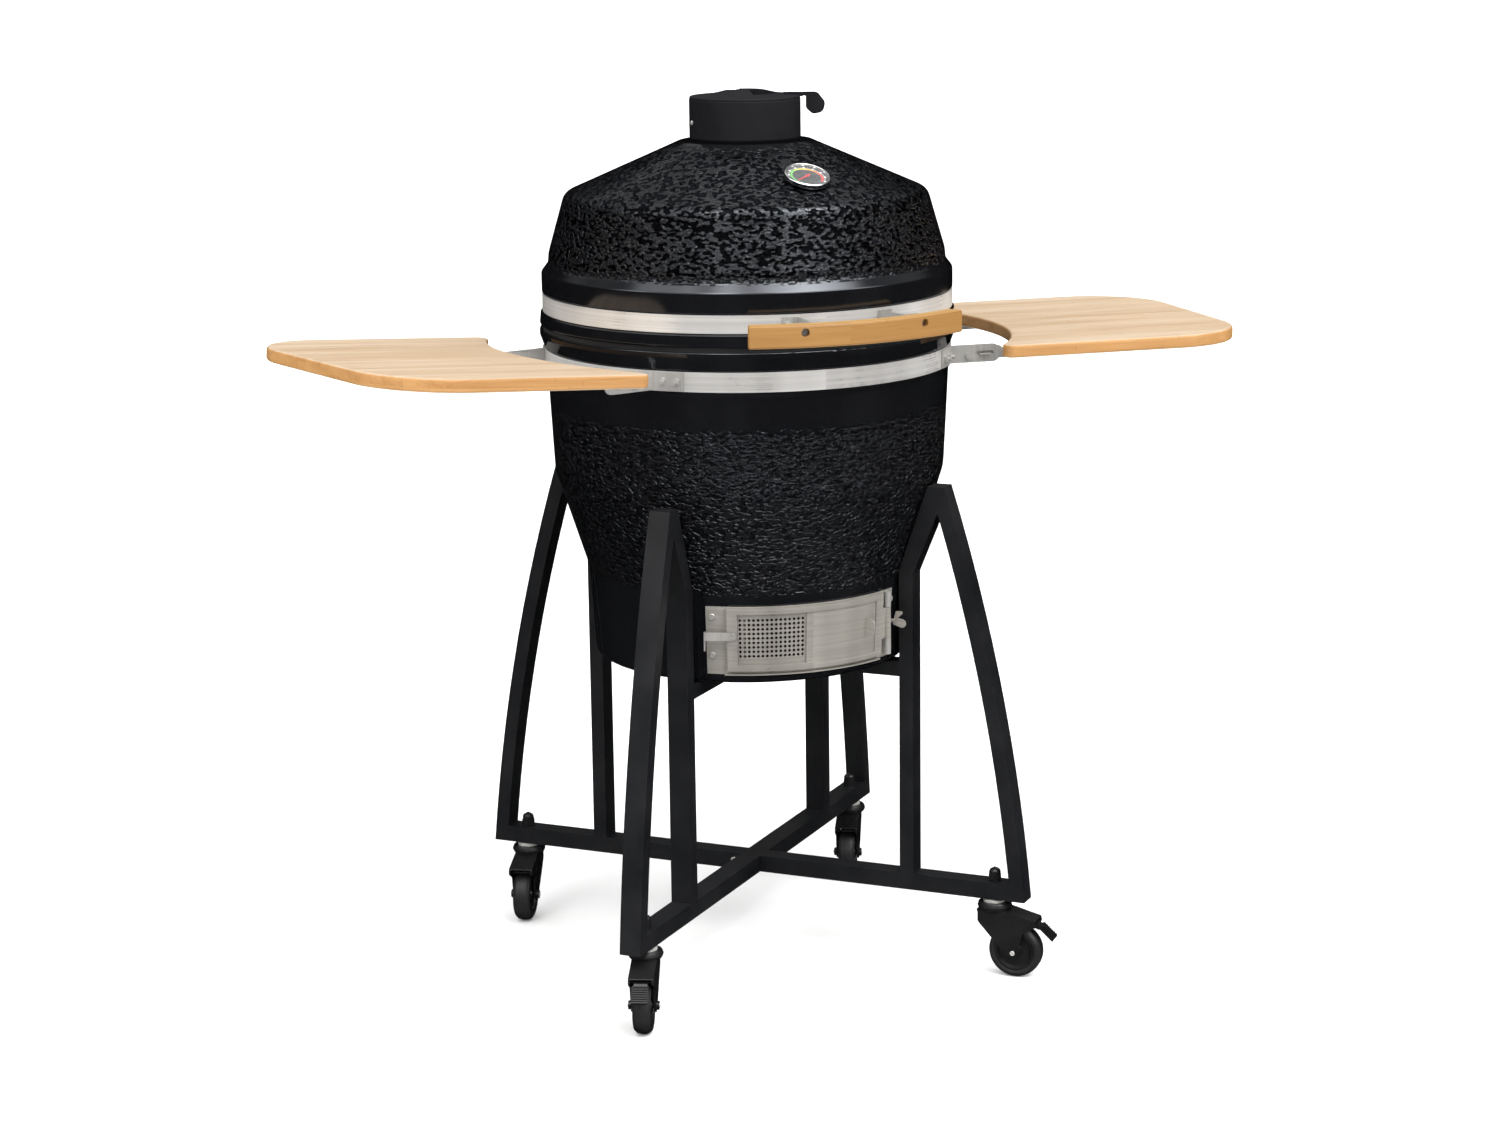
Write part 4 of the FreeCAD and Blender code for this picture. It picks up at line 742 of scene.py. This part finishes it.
@dataclass
class Pedal:
    """Ribs on the brake pedal of a front caster.

    Attributes:
        palette: The materials.
        corner: Which caster: fl or fr.
        turn: Degrees that its fork is turned about the stem.
        trail: From the stem to the axle, in millimetres.
        start: Distance from the stem and height of the tread's inner end, in millimetres.
        end: The same for its outer end.
        ribs: How many ridges cross the tread.
    """

    palette: Palette
    corner: str
    turn: float
    trail: float = 31.0
    start: tuple[float, float] = (69.4, 77.2)
    end: tuple[float, float] = (86.2, 61.6)
    ribs: int = 7

    def build(self) -> None:
        """Lays low ridges across the sloping tread."""
        spots = np.linspace(0.06, 0.94, self.ribs)[:, None]
        along = np.array(self.end) - np.array(self.start)
        length = np.linalg.norm(along)
        ahead = along / length
        up = np.array((-ahead[1], ahead[0]))
        centres = np.array(self.start) + spots * along
        half_width, half_run, rise = 10.4, 0.6, 0.9
        section = np.array([(-half_run, -0.5), (half_run, -0.5),
                            (half_run * 0.6, rise), (-half_run * 0.6, rise)])
        points, faces = [], []
        for centre in centres:
            outline = centre + section[:, :1] * ahead + section[:, 1:] * up
            for y in (-half_width, half_width):
                points.append(np.column_stack([outline[:, 0], np.full(4, y), outline[:, 1]]))
            base = (len(points) - 2) * 4
            faces += [(base, base + 1, base + 2, base + 3), (base + 7, base + 6, base + 5, base + 4)]
            faces += [(base + (i + 1) % 4, base + i, base + 4 + i, base + 4 + (i + 1) % 4) for i in range(4)]
        grid = np.concatenate(points) * MM
        wheel = middle_of("caster_%s_wheel" % self.corner)
        turn = Matrix.Rotation(math.radians(self.turn), 4, "Z")
        stem = Vector((wheel.x, wheel.y, 0)) - turn @ Vector((self.trail * MM, 0, 0))
        made = mesh_object("caster_%s_ribs" % self.corner, placed(grid, Matrix.Translation(stem) @ turn), faces,
                           self.palette["nylon"], False)
        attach(made, "pedal_" + self.corner)


@dataclass
class Studio:
    """Camera, floor and soft light.

    Attributes:
        azimuth: Degrees about Z from +Y to where the camera looks.
        distance_xy: Where the camera stands, in metres.
        height: Height of the camera, in metres.
        pitch: Degrees that it looks down.
        roll: Degrees that it leans.
        lens: Focal length, in millimetres.
    """

    azimuth: float = -21.208
    distance_xy: tuple[float, float] = (-1.5843, -4.0802)
    height: float = 1.5057
    pitch: float = 12.273
    roll: float = -0.75
    lens: float = 77.19

    def camera(self) -> None:
        """The main camera, level with a small roll."""
        turn, dip, roll = (math.radians(v) for v in (self.azimuth, self.pitch, self.roll))
        level = Vector((math.cos(turn), math.sin(turn), 0))
        ahead = Vector((-math.sin(turn) * math.cos(dip), math.cos(turn) * math.cos(dip), -math.sin(dip)))
        upward = level.cross(ahead)
        right = level * math.cos(roll) + upward * math.sin(roll)
        up = -level * math.sin(roll) + upward * math.cos(roll)
        data = bpy.data.cameras.new("main_camera")
        data.lens = self.lens
        data.sensor_width = 36.0
        data.sensor_fit = "HORIZONTAL"
        data.clip_end = 100.0
        made = bpy.data.objects.new("main_camera", data)
        made.matrix_world = Matrix((
            (right.x, up.x, -ahead.x, self.distance_xy[0]),
            (right.y, up.y, -ahead.y, self.distance_xy[1]),
            (right.z, up.z, -ahead.z, self.height),
            (0, 0, 0, 1)))
        bpy.context.scene.collection.objects.link(made)
        bpy.context.scene.camera = made

    @staticmethod
    def floor() -> None:
        """A wide flat pale floor."""
        material, tree, shader, where = Finish("studio_floor").start()
        cloud = tree.noise(where, 1.2, 2.0, 0.5)
        tone = tree.ramp(cloud, [(0.3, (0.93, 0.93, 0.93)), (0.7, (0.95, 0.95, 0.95))])
        tree.tree.links.new(tone, shader.inputs["Base Color"])
        shader.inputs["Roughness"].default_value = 0.9
        shader.inputs["Specular IOR Level"].default_value = 0.1
        size = 30.0
        points = np.array([(-size, -size, 0), (size, -size, 0), (size, size, 0), (-size, size, 0)])
        made = mesh_object("studio_floor", points, [(0, 1, 2, 3)], material, False)
        made.visible_glossy = False

    @staticmethod
    def light(name: str, place: tuple, target: tuple, size: tuple[float, float], power: float) -> None:
        """One rectangular soft box."""
        data = bpy.data.lights.new(name, "AREA")
        data.shape = "RECTANGLE"
        data.size, data.size_y = size
        data.energy = power
        made = bpy.data.objects.new(name, data)
        made.location = place
        made.rotation_euler = (Vector(target) - Vector(place)).to_track_quat("-Z", "Y").to_euler()
        made.visible_glossy = False
        bpy.context.scene.collection.objects.link(made)

    @staticmethod
    def world() -> None:
        """White where the camera looks, a graded grey for what the object reflects."""
        world = bpy.data.worlds.new("studio")
        world.use_nodes = True
        bpy.context.scene.world = world
        tree = Tree(world.node_tree)
        shader = world.node_tree.nodes["Background"]
        ray = tree.node("LightPath")
        where = tree.node("TexCoord").outputs["Generated"]
        up = tree.node("SeparateXYZ", {0: where}).outputs[2]
        around = tree.noise(tree.stretch(where, (1.0, 1.0, 0.25)), 1.6, 2.0, 0.5)
        panels = tree.remap(around, 0.38, 0.60, 0.25, 1.0)
        low = tree.remap(up, 0.34, 0.52, 0.09, 6.0)
        high = tree.math("MULTIPLY_ADD", tree.band(up, 0.76, 0.90, 0.03), 8.0, low)
        facing = tree.node("VectorMath", {0: where, 1: (-0.36, -0.93, 0.0)},
                           operation="DOT_PRODUCT").outputs[1]
        front = tree.remap(facing, -0.10, 0.40, 0.05, 1.0)
        grey = tree.math("MULTIPLY", tree.math("MULTIPLY", high, panels), front)
        fill = tree.node("Mix", {0: ray.outputs["Is Diffuse Ray"], 2: grey, 3: 1.0}).outputs[0]
        strength = tree.node("Mix", {0: ray.outputs["Is Camera Ray"], 2: fill, 3: 1.0}).outputs[0]
        tree.tree.links.new(strength, shader.inputs["Strength"])
        shader.inputs["Color"].default_value = (1.0, 1.0, 1.0, 1.0)

    def build(self) -> None:
        """Sets up the studio."""
        bpy.context.scene.view_settings.view_transform = "Standard"
        self.world()
        self.camera()
        self.floor()
        middle = (0.0, 0.0, 0.8)
        self.light("left_box", (-3.4, -1.8, 2.2), middle, (1.6, 2.6), 60.0)
        self.light("right_box", (3.2, -2.4, 1.9), middle, (1.2, 2.4), 40.0)
        self.light("top_box", (0.2, -0.8, 4.0), middle, (3.0, 2.0), 45.0)


def main() -> None:
    """Builds every piece."""
    logging.basicConfig(level=logging.INFO, format="%(name)s: %(message)s")
    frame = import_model()
    palette = Palette()
    CadFinishes(palette, frame["nodes"]).build()
    Thermometer(palette).build()
    LOG.info("thermometer face made")
    for corner, turn in CASTER_TURNS.items():
        Caster(palette, corner, turn).build()
        LOG.info("caster %s made", corner)
    for corner in ("fl", "fr"):
        Pedal(palette, corner, CASTER_TURNS[corner]).build()
        LOG.info("pedal %s made", corner)
    Studio().build()


if __name__ == "__main__":
    main()
